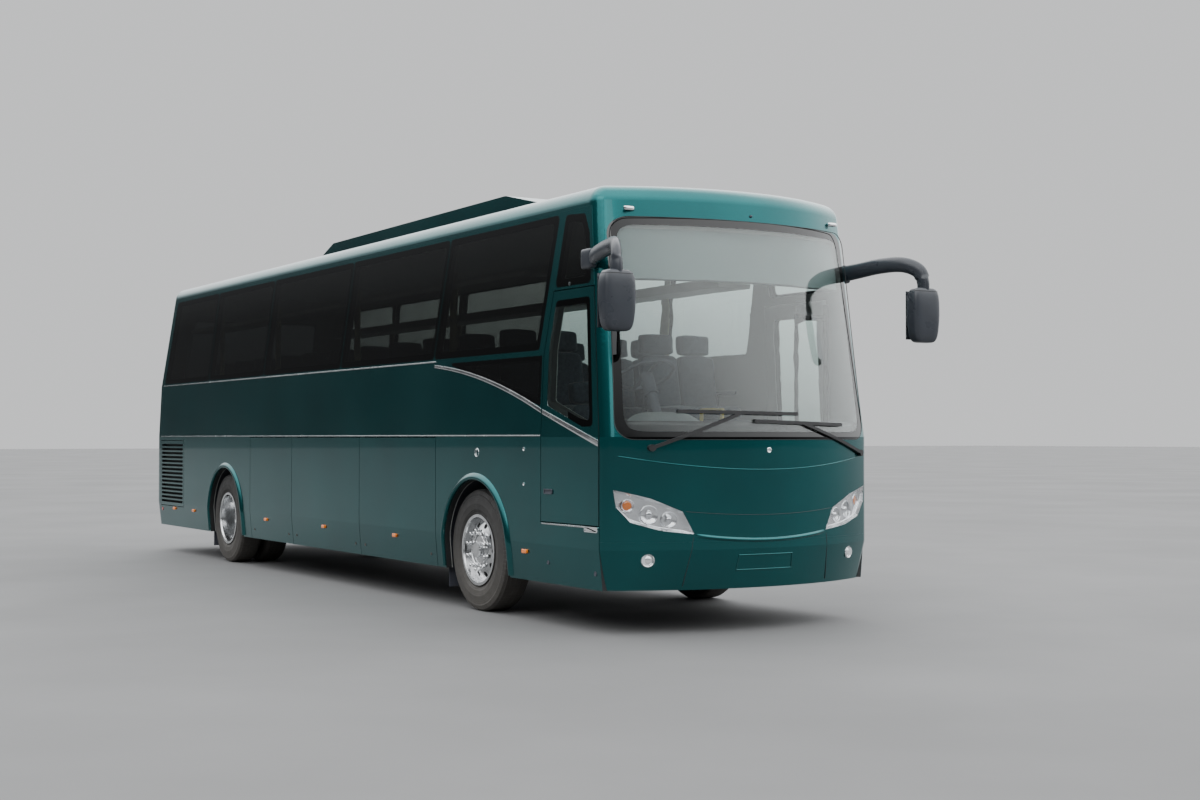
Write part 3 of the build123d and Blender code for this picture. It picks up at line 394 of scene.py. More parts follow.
@dataclass(frozen=True)
class Finish(Look):
    """One surface finish.

    Attributes:
        name: Name of the material.
        colour: Main colour.
        second: Colour of the uneven patches.
        metallic: Metallic share.
        low: Roughness of wiped patches.
        high: Roughness of dull patches.
        grain: Scale of the surface's ripple.
        depth: Strength of the ripple.
        patch: Scale of the patches of the second colour.
        coat: Weight of the clear coat.
        dust: Amount of road dust.
        dust_top: Height at which the dust ends.
        sheen: Weight of the cloth's sheen.
        hidden: What shows away from the outside of a painted piece.
    """

    name: str
    colour: Colour
    second: Colour
    metallic: float = 0.0
    low: float = 0.4
    high: float = 0.6
    grain: float = 60.0
    depth: float = 0.1
    patch: float = 8.0
    coat: float = 0.0
    dust: float = 0.25
    dust_top: float = 0.9
    sheen: float = 0.0
    hidden: Hidden = Hidden.NOTHING

    def shader(self, graph: Graph) -> dict[str, object]:
        """Lays out patches, wear, ripple and dust, and what a painted piece hides.

        Args:
            graph: The material's graph.

        Returns:
            The Principled shader's inputs.
        """
        speckle = graph.minus(graph.noise(self.patch, 7.0, Roughness=0.6), 0.38)
        clean = graph.mix(graph.times(speckle, 3.0, clamp=True), self.colour, self.second)
        mask = graph.group(Effects.road_dust(), Top=self.dust_top, Amount=self.dust)
        worn = graph.group(Effects.wear(), Low=self.low, High=self.high, Scale=self.patch * 0.7)
        colour = graph.mix(mask, clean, Shade.DUST.value)
        rough = graph.plus(worn, graph.times(mask, 0.35), clamp=True)
        metallic: object = self.metallic
        coat: object = self.coat
        if self.hidden is not Hidden.NOTHING:
            # The first mask blackens the paint: sealant in window rebates, and painted shade inside panel
            # gaps and recesses.
            sealant_and_shade, lining = self.covers(graph)
            colour = graph.mix(lining, graph.mix(sealant_and_shade, colour, Shade.BLACK.value), Shade.LINING.value)
            bare = graph.rest(graph.math("MAXIMUM", sealant_and_shade, lining))
            metallic = graph.times(bare, self.metallic)
            coat = graph.times(bare, self.coat)
            rough = graph.math("MAXIMUM", rough, graph.times(graph.rest(bare), 0.7))
        return {
            "Base_Color": colour,
            "Metallic": metallic,
            "Roughness": rough,
            "Normal": graph.group(Effects.ripple(), Scale=self.grain, Strength=self.depth),
            "Coat_Weight": coat,
            "Coat_Roughness": 0.03,
            "Sheen_Weight": self.sheen,
        }

    def covers(self, graph: Graph) -> tuple[object, Socket]:
        """Finds where dark sealant in window rebates, painted shade inside panel gaps and recesses, and the
        cabin's lining take the place of the paint.

        Args:
            graph: The material's graph.

        Returns:
            The mask of dark sealant and painted gap shade, and the lining's mask.
        """
        if self.hidden is Hidden.BY_DEPTH:
            depth = graph.group(Effects.wall_depth())
            # Deeper than 3.6 mm under the wall's outside turns black: sealant in window rebates, and painted
            # shade inside panel gaps and recesses.
            return graph.above(depth, 0.0036, 0.0004), graph.above(depth, 0.054, 0.001)
        return 0.0, graph.group(Effects.inward())


@dataclass(frozen=True)
class Border:
    """Dark printed border of one pane.

    Attributes:
        outline: Corners of the pane, anticlockwise, across and up.
        width: Width of the border.
        rounding: How round the clear area's corners are.
    """

    outline: tuple[Flat, ...]
    width: float
    rounding: float

    def clear(self, graph: Graph, across: Socket, up: Socket) -> Socket:
        """Lays out the mask of the clear area.

        Args:
            graph: The material's graph.
            across: Socket of the place across.
            up: Socket of the height.

        Returns:
            The mask's socket, 1 inside the border.
        """
        nearest: object = 9.0
        for (x0, z0), (x1, z1) in zip(self.outline, self.outline[1:] + self.outline[:1]):
            length = math.hypot(x1 - x0, z1 - z0)
            inward = (-(z1 - z0) / length, (x1 - x0) / length)
            values = {"In_Across": inward[0], "In_Up": inward[1], "Offset": inward[0] * x0 + inward[1] * z0}
            values |= {"Across": across, "Up": up, "Nearest": nearest, "Round": self.rounding}
            nearest = graph.group(Effects.nearest_edge(), **values)
        return graph.above(nearest, self.width, 0.003)


@dataclass(frozen=True)
class Glazing(Look):
    """Tinted glass with a faint film of dust and, where it is bonded in, a dark printed border.

    Attributes:
        name: Name of the material.
        tint: Colour of the light let through.
        ior: Index of refraction, which sets how much the glass reflects.
        borders: Borders of its panes.
        faces_nose: Whether the panes are seen along the body, and not across it.
        roughness: Roughness of clean glass.
    """

    name: str
    tint: Colour
    ior: float = 1.45
    borders: tuple[Border, ...] = ()
    faces_nose: bool = False
    roughness: float = 0.0

    def shader(self, graph: Graph) -> dict[str, object]:
        """Lays out tint, film and borders.

        Args:
            graph: The material's graph.

        Returns:
            The Principled shader's inputs.
        """
        film = graph.times(graph.minus(graph.noise(3.0, 6.0), 0.45), 0.05, clamp=True)
        dust = graph.group(Effects.road_dust(), Top=2.2, Amount=0.05)
        colour = graph.mix(dust, self.tint, Shade.DUST.value)
        if self.borders:
            x, y, up = graph.axes()
            clear: object = 0.0
            for border in self.borders:
                clear = graph.math("MAXIMUM", clear, border.clear(graph, y if self.faces_nose else x, up))
            colour = graph.mix(clear, Shade.INK.value, colour)
        rough = graph.plus(film, self.roughness, clamp=True)
        fixed = {"IOR": self.ior, "Metallic": 0.0, "Transmission_Weight": 1.0}
        return {"Base_Color": colour, "Roughness": rough, **fixed}


@dataclass(frozen=True)
class TyreRubber(Look):
    """Tyre rubber about one axle: moulded rings on the wall and grooved blocks round the tread.

    Attributes:
        name: Name of the material.
        axle_x: Place of the axle.
    """

    name: str
    axle_x: float

    def shader(self, graph: Graph) -> dict[str, object]:
        """Lays out the relief of wall and tread over dusty rubber.

        Args:
            graph: The material's graph.

        Returns:
            The Principled shader's inputs.
        """
        x, y, z = graph.axes()
        ahead, up = graph.minus(x, self.axle_x), graph.minus(z, TYRE_R)
        reach = graph.math("SQRT", graph.plus(graph.math("POWER", ahead, 2.0), graph.math("POWER", up, 2.0)))
        wall = graph.rest(graph.above(reach, TYRE_R - 0.05, 0.008))
        inner = graph.rest(graph.above(reach, 0.335, 0.004))
        rings = graph.times(graph.times(graph.wave(reach, 420.0), wall), graph.plus(inner, 0.12))
        sipes = graph.above(graph.wave(graph.math("ARCTAN2", up, ahead), 84.0), -0.7, 0.3)
        grooves = graph.above(graph.math("ABSOLUTE", graph.wave(y, 66.0)), 0.25, 0.2)
        tread = graph.times(graph.times(graph.plus(sipes, grooves), 2.0), graph.rest(wall))
        height = graph.plus(graph.plus(rings, tread), graph.times(graph.noise(160.0, 3.0), 0.3))
        clean = graph.mix(graph.noise(9.0, 6.0), Shade.RUBBER.value, (0.032, 0.031, 0.030))
        dust = graph.group(Effects.road_dust(), Top=1.15, Amount=0.4)
        return {
            "Base_Color": graph.mix(dust, clean, Shade.DUST.value),
            "Roughness": graph.group(Effects.wear(), Low=0.6, High=0.85, Scale=12.0),
            "Normal": graph.bump(height, 0.55, 0.003),
        }


@dataclass(frozen=True)
class LampGlass(Look):
    """Ribbed clear lens.

    Attributes:
        name: Name of the material.
    """

    name: str = "lamp_glass"

    def shader(self, graph: Graph) -> dict[str, object]:
        """Lays out crossed ribs over bright glass.

        Args:
            graph: The material's graph.

        Returns:
            The Principled shader's inputs.
        """
        _, y, z = graph.axes()
        ribs = graph.times(graph.wave(y, 520.0), graph.wave(z, 520.0))
        return {
            "Base_Color": (0.74, 0.76, 0.78),
            "Metallic": 0.7,
            "Roughness": graph.group(Effects.wear(), Low=0.05, High=0.14, Scale=14.0),
            "Normal": graph.bump(ribs, 0.35, 0.002),
            "Coat_Weight": 1.0,
        }


def panes(front: float) -> tuple[Border, ...]:
    """Gives the borders of a side's five bonded panes, x and z in the frame.

    Args:
        front: Front end of the foremost pane, from the front axle.

    Returns:
        The borders from the rear.
    """
    marks = [along(x) for x in (-9.150, -7.290, -5.330, -3.050, -0.840, front)]
    leans = (0.413, 0.254, 0.254, 0.254, 0.254)
    gap, low, top = 0.004, 2.185, 3.245
    return tuple(
        Border(((a + gap, low), (b - gap, low), (b + 0.250, top), (a + gap + lean, top)), 0.058, 0.09)
        for a, b, lean in zip(marks[:-1], marks[1:], leans)
    )


def side_border(width: float, rounding: float, *points: Flat) -> Border:
    """Gives the border of a side pane from its corners' places from the front axle and heights."""
    return Border(tuple((along(x), z) for x, z in points), width, rounding)


QUARTER = side_border(
    0.06, 0.06, (1.345, 2.668), (1.900, 2.668), (1.850, 3.060), (1.770, 3.215), (1.478, 3.235)
)
LOW_PANE = side_border(0.035, 0.02, (-0.560, 2.140), (1.180, 1.735), (1.180, 2.140))
DOOR_PANE = side_border(
    0.048, 0.05, (1.290, 1.740), (1.850, 1.568), (2.010, 1.568), (1.890, 2.565), (1.375, 2.565),
    (1.290, 2.190),
)
ENTRY_PANE = side_border(0.05, 0.05, (0.975, 1.020), (1.675, 1.020), (1.675, 2.565), (0.975, 2.565))
ENTRY_TOP = side_border(
    0.075, 0.08, (0.930, 2.668), (1.900, 2.668), (1.850, 3.060), (1.770, 3.215), (0.930, 3.235)
)
SCREEN = Border(((-1.190, 1.470), (1.190, 1.470), (1.130, 3.170), (-1.130, 3.170)), 0.060, 0.20)
REAR_PANE = Border(((-0.960, 2.230), (0.960, 2.230), (0.900, 3.090), (-0.900, 3.090)), 0.06, 0.10)

PAINT = Finish(
    "teal_paint", Shade.TEAL.value, Shade.TEAL_DEEP.value, metallic=0.85, low=0.18, high=0.24, grain=14.0,
    depth=0.015, patch=1.1, coat=0.4, dust=0.08, dust_top=1.1, hidden=Hidden.BY_FACING,
)
# Side paint turns black deep in rebates and panel gaps: sealant in the rebates, painted shade in the gaps.
SIDE_PAINT = replace(
    PAINT, name="teal_side_paint", coat=0.3, dust=0.10, dust_top=1.2, hidden=Hidden.BY_DEPTH
)
FLARE_PAINT = replace(PAINT, name="teal_flare_paint", dust=0.2, dust_top=1.2, hidden=Hidden.NOTHING)
BLACK_PLASTIC = Finish(
    "black_plastic", Shade.BLACK.value, (0.02, 0.021, 0.023), low=0.32, high=0.5, grain=400.0
)
MIRROR_SHELL = Finish(
    "mirror_shell", (0.026, 0.030, 0.038), (0.034, 0.039, 0.048), low=0.24, high=0.36, grain=420.0,
    depth=0.08, dust=0.0,
)
CHASSIS = Finish(
    "chassis_black", (0.014, 0.014, 0.015), (0.05, 0.042, 0.035), low=0.5, high=0.8, dust=0.7, dust_top=1.3
)
CASTING = Finish(
    "casting", (0.03, 0.03, 0.03), (0.09, 0.06, 0.045), metallic=0.4, low=0.45, high=0.75, dust=0.6
)
POLISHED = Finish(
    "polished_aluminium", (0.78, 0.79, 0.80), (0.62, 0.63, 0.64), metallic=1.0, low=0.10, high=0.24,
    grain=120.0, depth=0.04, patch=20.0, dust=0.30,
)
CHROME = Finish(
    "chrome", (0.88, 0.89, 0.90), (0.80, 0.81, 0.82), metallic=1.0, low=0.04, high=0.12, depth=0.0, dust=0.1
)
REFLECTOR = Finish(
    "lamp_reflector", (0.86, 0.87, 0.88), (0.76, 0.77, 0.78), metallic=0.75, low=0.10, high=0.22, depth=0.0,
    dust=0.0,
)
BRIGHT_TRIM = Finish(
    "bright_trim", (0.74, 0.75, 0.76), (0.60, 0.61, 0.62), metallic=1.0, low=0.16, high=0.30, grain=200.0,
    depth=0.03,
)
DARK_TRIM = Finish("dark_trim", (0.035, 0.045, 0.048), (0.05, 0.06, 0.062), low=0.3, high=0.45, depth=0.02)
DECK = Finish(
    "vinyl_floor", (0.10, 0.10, 0.11), (0.13, 0.13, 0.14), low=0.45, high=0.7, grain=300.0, dust=0.0
)
LINING = Finish(
    "pale_lining", (0.40, 0.41, 0.40), (0.46, 0.47, 0.46), low=0.6, high=0.8, grain=260.0, dust=0.0
)
SEAT_CLOTH = Finish(
    "seat_cloth", (0.040, 0.052, 0.075), (0.075, 0.090, 0.115), low=0.8, high=0.95, grain=900.0, depth=0.18,
    patch=40.0, dust=0.0, sheen=0.3,
)
CURTAIN_CLOTH = replace(
    SEAT_CLOTH, name="curtain_cloth", colour=(0.42, 0.44, 0.27), second=(0.50, 0.51, 0.33), depth=0.4,
    patch=30.0,
)
BLIND_CLOTH = Finish(
    "blind_cloth", (0.27, 0.34, 0.34), (0.30, 0.37, 0.37), low=0.75, high=0.9, grain=800.0, depth=0.06,
    patch=3.0, dust=0.0,
)
DASH = Finish(
    "dash_moulding", (0.17, 0.18, 0.18), (0.20, 0.21, 0.21), low=0.5, high=0.68, grain=500.0, dust=0.0
)
SILVERED = Finish(
    "silvered", (0.86, 0.88, 0.9), (0.8, 0.82, 0.84), metallic=1.0, low=0.02, high=0.05, depth=0.0, dust=0.05
)
AMBER = Finish(
    "amber_lens", Shade.AMBER.value, (0.80, 0.16, 0.008), low=0.08, high=0.2, depth=0.0, patch=60.0, coat=1.0,
    dust=0.1,
)
RED = replace(AMBER, name="red_lens", colour=Shade.RED.value, second=(0.36, 0.005, 0.007))
BLANK_PLATE = Finish(
    "blank_plate", (0.70, 0.70, 0.68), (0.62, 0.62, 0.60), low=0.35, high=0.5, patch=14.0, dust=0.3
)
GRILLE = Finish(
    "grille_mesh", (0.006, 0.007, 0.007), (0.012, 0.012, 0.013), low=0.6, high=0.8, grain=300.0, depth=0.6
)
WIPER = Finish(
    "wiper_black", (0.006, 0.006, 0.007), (0.010, 0.010, 0.011), low=0.5, high=0.65, grain=200.0, dust=0.0
)
RAIL_PAINT = Finish(
    "grab_rail_paint", (0.55, 0.42, 0.05), (0.50, 0.38, 0.05), low=0.3, high=0.45, depth=0.02, dust=0.0
)
RUBBER_SEAL = Finish(
    "rubber_seal", (0.014, 0.015, 0.016), (0.022, 0.023, 0.024), low=0.45, high=0.6, depth=0.05, dust=0.1
)
DARK_SHELF = Finish(
    "dark_shelf", (0.012, 0.010, 0.011), (0.028, 0.020, 0.020), low=0.3, high=0.5, patch=12.0, dust=0.0
)
SIDE_GLASS = Glazing("side_glass", (0.13, 0.135, 0.125), ior=1.6, borders=(*panes(1.130), QUARTER, LOW_PANE))
LEFT_GLASS = Glazing("left_glass", (0.58, 0.66, 0.64), borders=(*panes(0.640), ENTRY_TOP))
DOOR_GLASS = Glazing("door_glass", (0.70, 0.80, 0.76), borders=(DOOR_PANE, ENTRY_PANE))
SCREEN_GLASS = Glazing("screen_glass", (0.88, 0.95, 0.93), ior=1.65, borders=(SCREEN,), faces_nose=True)
REAR_GLASS = Glazing("rear_glass", (0.11, 0.125, 0.13), borders=(REAR_PANE,), faces_nose=True)
LENS = Glazing("clear_lens", (0.96, 0.97, 0.98), roughness=0.01)


class Bench:
    """Operators that start, shape and finish a piece, as by hand."""

    @staticmethod
    def clear() -> None:
        """Leaves edit mode and deselects everything."""
        if bpy.context.object and bpy.context.object.mode != "OBJECT":
            bpy.ops.object.mode_set(mode="OBJECT")
        bpy.ops.object.select_all(action="DESELECT")

    @classmethod
    def only(cls, piece: Piece) -> None:
        """Selects one piece alone and makes it active."""
        cls.clear()
        piece.select_set(True)
        bpy.context.view_layer.objects.active = piece

    @staticmethod
    def named(name: str) -> Piece:
        """Names the active piece and its mesh."""
        piece = bpy.context.object
        piece.name = name
        piece.data.name = name
        return piece

    @classmethod
    def settle(cls, name: str) -> Piece:
        """Names the active piece and moves its place, turn and scale into its mesh."""
        piece = cls.named(name)
        bpy.ops.object.transform_apply(location=True, rotation=True, scale=True)
        return piece

    @classmethod
    def modify(cls, piece: Piece, kind: str, **values: object) -> None:
        """Adds a modifier and applies it.

        Args:
            piece: The piece.
            kind: Blender's name of the modifier.
            values: The modifier's settings.
        """
        cls.only(piece)
        bpy.ops.object.modifier_add(type=kind)
        modifier = piece.modifiers[-1]
        for name, value in values.items():
            setattr(modifier, name, value)
        bpy.ops.object.modifier_apply(modifier=modifier.name)

    @staticmethod
    def select(action: str) -> None:
        """Enters edit mode and selects all or no faces."""
        bpy.ops.object.mode_set(mode="EDIT")
        bpy.ops.mesh.select_mode(type="FACE")
        bpy.ops.mesh.select_all(action=action)

    @classmethod
    def edit(cls, piece: Piece, way: Vector, limit: float) -> None:
        """Enters edit mode with the faces that look one way selected.

        Args:
            piece: The piece.
            way: The way.
            limit: Least cosine between a face's normal and the way.
        """
        cls.only(piece)
        cls.select("DESELECT")
        bpy.ops.object.mode_set(mode="OBJECT")
        for face in piece.data.polygons:
            face.select = face.normal.dot(way) > limit
        bpy.ops.object.mode_set(mode="EDIT")

    @classmethod
    def smooth(cls, piece: Piece, degrees: float) -> Piece:
        """Shades a piece smooth, with edges sharper than an angle kept.

        Args:
            piece: The piece.
            degrees: The angle.

        Returns:
            The piece.
        """
        cls.only(piece)
        bpy.ops.object.shade_smooth_by_angle(angle=math.radians(degrees))
        return piece

    @classmethod
    def block(cls, name: str, low: Point, high: Point, round_off: float) -> Piece:
        """Makes a block with rounded edges.

        Args:
            name: The piece's name.
            low: One corner.
            high: The corner across from it.
            round_off: Radius of its edges.

        Returns:
            The piece.
        """
        cls.clear()
        middle = [(a + b) / 2 for a, b in zip(low, high)]
        size = [abs(b - a) for a, b in zip(low, high)]
        bpy.ops.mesh.primitive_cube_add(size=1.0, location=middle, scale=size)
        piece = cls.settle(name)
        cls.modify(piece, "BEVEL", width=round_off, segments=2, limit_method="ANGLE")
        return cls.smooth(piece, 50.0)

    @classmethod
    def turned(
        cls, name: str, base: Sequence[float], axis: Sequence[float], radius: float, height: float,
        steps: Iterable[Flat], sides: int,
    ) -> Piece:
        """Makes a turned piece: a cylinder whose outer face is inset and raised step by step.

        Args:
            name: The piece's name.
            base: Middle of its back.
            axis: Way that it faces.
            radius: Radius of the cylinder.
            height: Height of the cylinder.
            steps: How far each step goes inwards and outwards.
            sides: Faces round it.

        Returns:
            The piece.
        """
        cls.clear()
        way = Vector(axis).normalized()
        turn = way.to_track_quat("Z", "Y").to_euler()
        centre = Vector(base) + way * height / 2
        bpy.ops.mesh.primitive_cylinder_add(
            vertices=sides, radius=radius, depth=height, location=centre, rotation=turn
        )
        piece = cls.settle(name)
        cls.edit(piece, way, 0.99)
        for inward, out in steps:
            bpy.ops.mesh.inset(thickness=inward, depth=out)
        bpy.ops.object.mode_set(mode="OBJECT")
        return cls.smooth(piece, 40.0)

    @classmethod
    def stud(
        cls, name: str, place: Flat, side: int, sink: float, radius: float, height: float,
        steps: Iterable[Flat], sides: int,
    ) -> Piece:
        """Makes a turned piece that faces out of a side wall.

        Args:
            name: The piece's name.
            place: Its place from the front axle, and its height.
            side: Side of the coach.
            sink: How deep its back lies under the wall's outside.
            radius: Radius of the cylinder.
            height: Height of the cylinder.
            steps: How far each step goes inwards and outwards.
            sides: Faces round it.

        Returns:
            The piece.
        """
        x, z = place
        base = (along(x), side * (half_width(z) - sink), z)
        return cls.turned(name, base, (0.0, side, 0.0), radius, height, steps, sides)

    @classmethod
    def ring(
        cls, name: str, centre: Sequence[float], axis: Sequence[float], radius: float, thickness: float,
        sides: int,
    ) -> Piece:
        """Makes a round ring.

        Args:
            name: The piece's name.
            centre: Its middle.
            axis: Its axis.
            radius: Radius of its middle line.
            thickness: Radius of its section.
            sides: Faces round it.

        Returns:
            The piece.
        """
        cls.clear()
        turn = Vector(axis).to_track_quat("Z", "Y").to_euler()
        bpy.ops.mesh.primitive_torus_add(
            location=centre, rotation=turn, major_radius=radius, minor_radius=thickness, major_segments=sides,
            minor_segments=10,
        )
        return cls.smooth(cls.settle(name), 80.0)

    @classmethod
    def plate(
        cls, name: str, corners: Sequence[Point], out: Point, corner_r: float, lip: Flat = (0.0, 0.0)
    ) -> Piece:
        """Makes a flat plate with rounded corners and, if given, a lip round its face.

        Args:
            name: The piece's name.
            corners: Its corners at the back.
            out: How it grows to its face.
            corner_r: Radius of its corners.
            lip: Width and depth of the sunk field inside its lip.

        Returns:
            The piece.
        """
        cls.clear()
        bpy.ops.mesh.primitive_circle_add(vertices=len(corners), radius=1.0, fill_type="NGON")
        piece = cls.settle(name)
        for vertex, corner in zip(piece.data.vertices, corners):
            vertex.co = corner
        bpy.ops.object.mode_set(mode="EDIT")
        bpy.ops.mesh.select_all(action="SELECT")
        bpy.ops.mesh.bevel(affect="VERTICES", offset=corner_r, segments=5)
        bpy.ops.mesh.select_all(action="SELECT")
        bpy.ops.mesh.extrude_region_move(TRANSFORM_OT_translate={"value": out})
        bpy.ops.object.mode_set(mode="OBJECT")
        bpy.ops.object.mode_set(mode="EDIT")
        bpy.ops.mesh.select_all(action="SELECT")
        bpy.ops.mesh.normals_make_consistent(inside=False)
        bpy.ops.object.mode_set(mode="OBJECT")
        if lip[0]:
            cls.edit(piece, Vector(out).normalized(), 0.9)
            bpy.ops.mesh.inset(thickness=lip[0], depth=0.0)
            bpy.ops.mesh.inset(thickness=0.001, depth=lip[1])
            bpy.ops.object.mode_set(mode="OBJECT")
        return cls.smooth(piece, 35.0)

    @classmethod
    def panel(
        cls, name: str, ends: Flat, heights: Flat, y: float, out: float, corner_r: float,
        lip: Flat = (0.0, 0.0),
    ) -> Piece:
        """Makes an upright plate on a side wall.

        Args:
            name: The piece's name.
            ends: Its rear and front end in the frame.
            heights: Its lower and upper edge.
            y: Place of its back.
            out: How it grows to its face.
            corner_r: Radius of its corners.
            lip: Width and depth of the sunk field inside its lip.

        Returns:
            The piece.
        """
        (rear, front), (low, top) = ends, heights
        corners = [(rear, y, low), (front, y, low), (front, y, top), (rear, y, top)]
        return cls.plate(name, corners, (0.0, out, 0.0), corner_r, lip)

    @classmethod
    def tube(cls, name: str, points: Sequence[Point], radius: float, sides: int) -> Piece:
        """Makes a round tube along a line of points, with closed ends.

        Args:
            name: The piece's name.
            points: The line.
            radius: The tube's radius.
            sides: Faces round it.

        Returns:
            The piece.
        """
        pieces = []
        for start, end in zip(points[:-1], points[1:]):
            run = Vector(end) - Vector(start)
            turn = run.to_track_quat("Z", "Y").to_euler()
            centre = (Vector(start) + Vector(end)) / 2
            cls.clear()
            bpy.ops.mesh.primitive_cylinder_add(
                vertices=sides, radius=radius, depth=run.length, location=centre, rotation=turn
            )
            pieces.append(cls.settle(name))
            cls.clear()
            bpy.ops.mesh.primitive_uv_sphere_add(segments=sides, ring_count=6, radius=radius, location=end)
            pieces.append(cls.settle(name))
        return cls.smooth(cls.join(name, pieces), 50.0)

    @classmethod
    def skin(cls, name: str, columns: int, rows: int, place: Callable[[float, float], Point]) -> Piece:
        """Makes a sheet from a grid whose points are set by a rule.

        Args:
            name: The piece's name.
            columns: Faces across.
            rows: Faces up.
            place: Gives a point from its shares across and up, each from 0 to 1.

        Returns:
            The piece.
        """
        cls.clear()
        bpy.ops.mesh.primitive_grid_add(x_subdivisions=columns, y_subdivisions=rows, size=1.0)
        piece = cls.settle(name)
        for vertex in piece.data.vertices:
            vertex.co = place(vertex.co.x + 0.5, vertex.co.y + 0.5)
        return cls.smooth(piece, 80.0)

    @classmethod
    def pad(
        cls, name: str, low: Point, high: Point, crown: Point, lean: float = 0.0, waist: float = 0.05
    ) -> Piece:
        """Makes a padded form: crowned faces, and sides that pull in between soft corners.

        Args:
            name: The piece's name.
            low: Lowest corner.
            high: Highest corner.
            crown: How far each pair of faces swells.
            lean: How far it leans back from bottom to top.
            waist: Share by which the edges' middles pull in.

        Returns:
            The piece.
        """
        cls.clear()
        edge = 0.99
        middle = [(a + b) / 2 for a, b in zip(low, high)]
        half = [(b - a) / 2 for a, b in zip(low, high)]
        bpy.ops.mesh.primitive_cube_add(size=2.0)
        piece = cls.settle(name)
        bpy.ops.object.mode_set(mode="EDIT")
        bpy.ops.mesh.select_all(action="SELECT")
        bpy.ops.mesh.subdivide(number_cuts=3)
        bpy.ops.object.mode_set(mode="OBJECT")
        for vertex in piece.data.vertices:
            share = vertex.co.copy()
            flat = [1.0 - value**2 for value in share]
            for i in range(3):
                first, second = (i + 1) % 3, (i + 2) % 3
                pull = 0.0
                if abs(share[first]) > edge or abs(share[second]) > edge:
                    pull = waist * flat[first if abs(share[first]) < edge else second]
                swell = crown[i] * flat[first] * flat[second] * (abs(share[i]) > edge)
                vertex.co[i] = middle[i] + share[i] * (half[i] * (1.0 - pull) + swell)
            vertex.co.x -= lean * (share.z + 1.0) / 2
        cls.modify(piece, "SUBSURF", levels=1, render_levels=1)
        return cls.smooth(piece, 80.0)

    @classmethod
    def join(cls, name: str, pieces: Sequence[Piece]) -> Piece:
        """Joins pieces into one mesh.

        Args:
            name: Name of the joined piece.
            pieces: The pieces.

        Returns:
            The joined piece.
        """
        cls.only(pieces[0])
        for piece in pieces:
            piece.select_set(True)
        if len(pieces) > 1:
            bpy.ops.object.join()
        return cls.named(name)

    @classmethod
    def copies(cls, name: str, piece: Piece, moves: Iterable[Matrix]) -> Piece:
        """Copies a piece to several places, each with its own mesh, and joins the copies.

        Args:
            name: Name of the joined piece.
            piece: The first one, which is used up.
            moves: How each copy is moved.

        Returns:
            The joined piece.
        """
        made = []
        for move in moves:
            copy = piece.copy()
            copy.data = piece.data.copy()
            copy.data.transform(move)
            if move.determinant() < 0:
                copy.data.flip_normals()
            bpy.context.scene.collection.objects.link(copy)
            made.append(copy)
        bpy.data.objects.remove(piece, do_unlink=True)
        return cls.join(name, made)

    @staticmethod
    def finish(piece: Piece, finish: Look, body: str = "body") -> None:
        """Gives a piece its finish and the body that it rides on.

        Args:
            piece: The piece.
            finish: Its finish.
            body: The body.
        """
        piece.data.materials.clear()
        piece.data.materials.append(finish.material())
        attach(piece, body)
        LOG.info("piece %s with %s on %s", piece.name, finish.name, body)


@dataclass
class Wheels:
    """Nut covers and hub ring of the four wheels.

    Attributes:
        nuts: Nuts a wheel.
        nut_r: Radius of a nut cover.
        axles: Start of the bodies' names, place, radius of the circle of nuts, distance of the disc's
            face from the middle, and radius of the hub ring.
    """

    nuts: int = 10
    nut_r: float = 0.0155
    axles: tuple[tuple[str, float, float, float, float], ...] = (
        ("wheel_front", FRONT_AXLE_X, 0.166, 1.2135, 0.132),
        ("wheels_rear", REAR_AXLE_X, 0.139, 0.9535, 0.113),
    )

    def build(self) -> None:
        """Adds the nuts and the hub ring of each wheel."""
        steps = ((0.0001, 0.002), (self.nut_r * 0.25, 0.0), (0.0005, 0.026), (0.003, 0.005), (0.005, 0.002))
        for name, side in SIDES:
            for start, axle_x, circle, face, hub_r in self.axles:
                body = f"{start}_{name}"
                way = (0.0, side, 0.0)
                base = (axle_x + circle, side * (face - 0.004), TYRE_R)
                nut = Bench.turned("nut", base, way, self.nut_r * 1.25, 0.008, steps, 12)
                turns = [
                    Matrix.Translation((axle_x, 0, TYRE_R))
                    @ Matrix.Rotation(2 * math.pi * (i + 0.5) / self.nuts, 4, "Y")
                    @ Matrix.Translation((-axle_x, 0, -TYRE_R))
                    for i in range(self.nuts)
                ]
                Bench.finish(Bench.copies(f"nuts_{body}", nut, turns), CHROME, body)
                centre = (axle_x, side * (face + 0.002), TYRE_R)
                Bench.finish(Bench.ring(f"hub_ring_{body}", centre, way, hub_r, 0.006, 40), POLISHED, body)


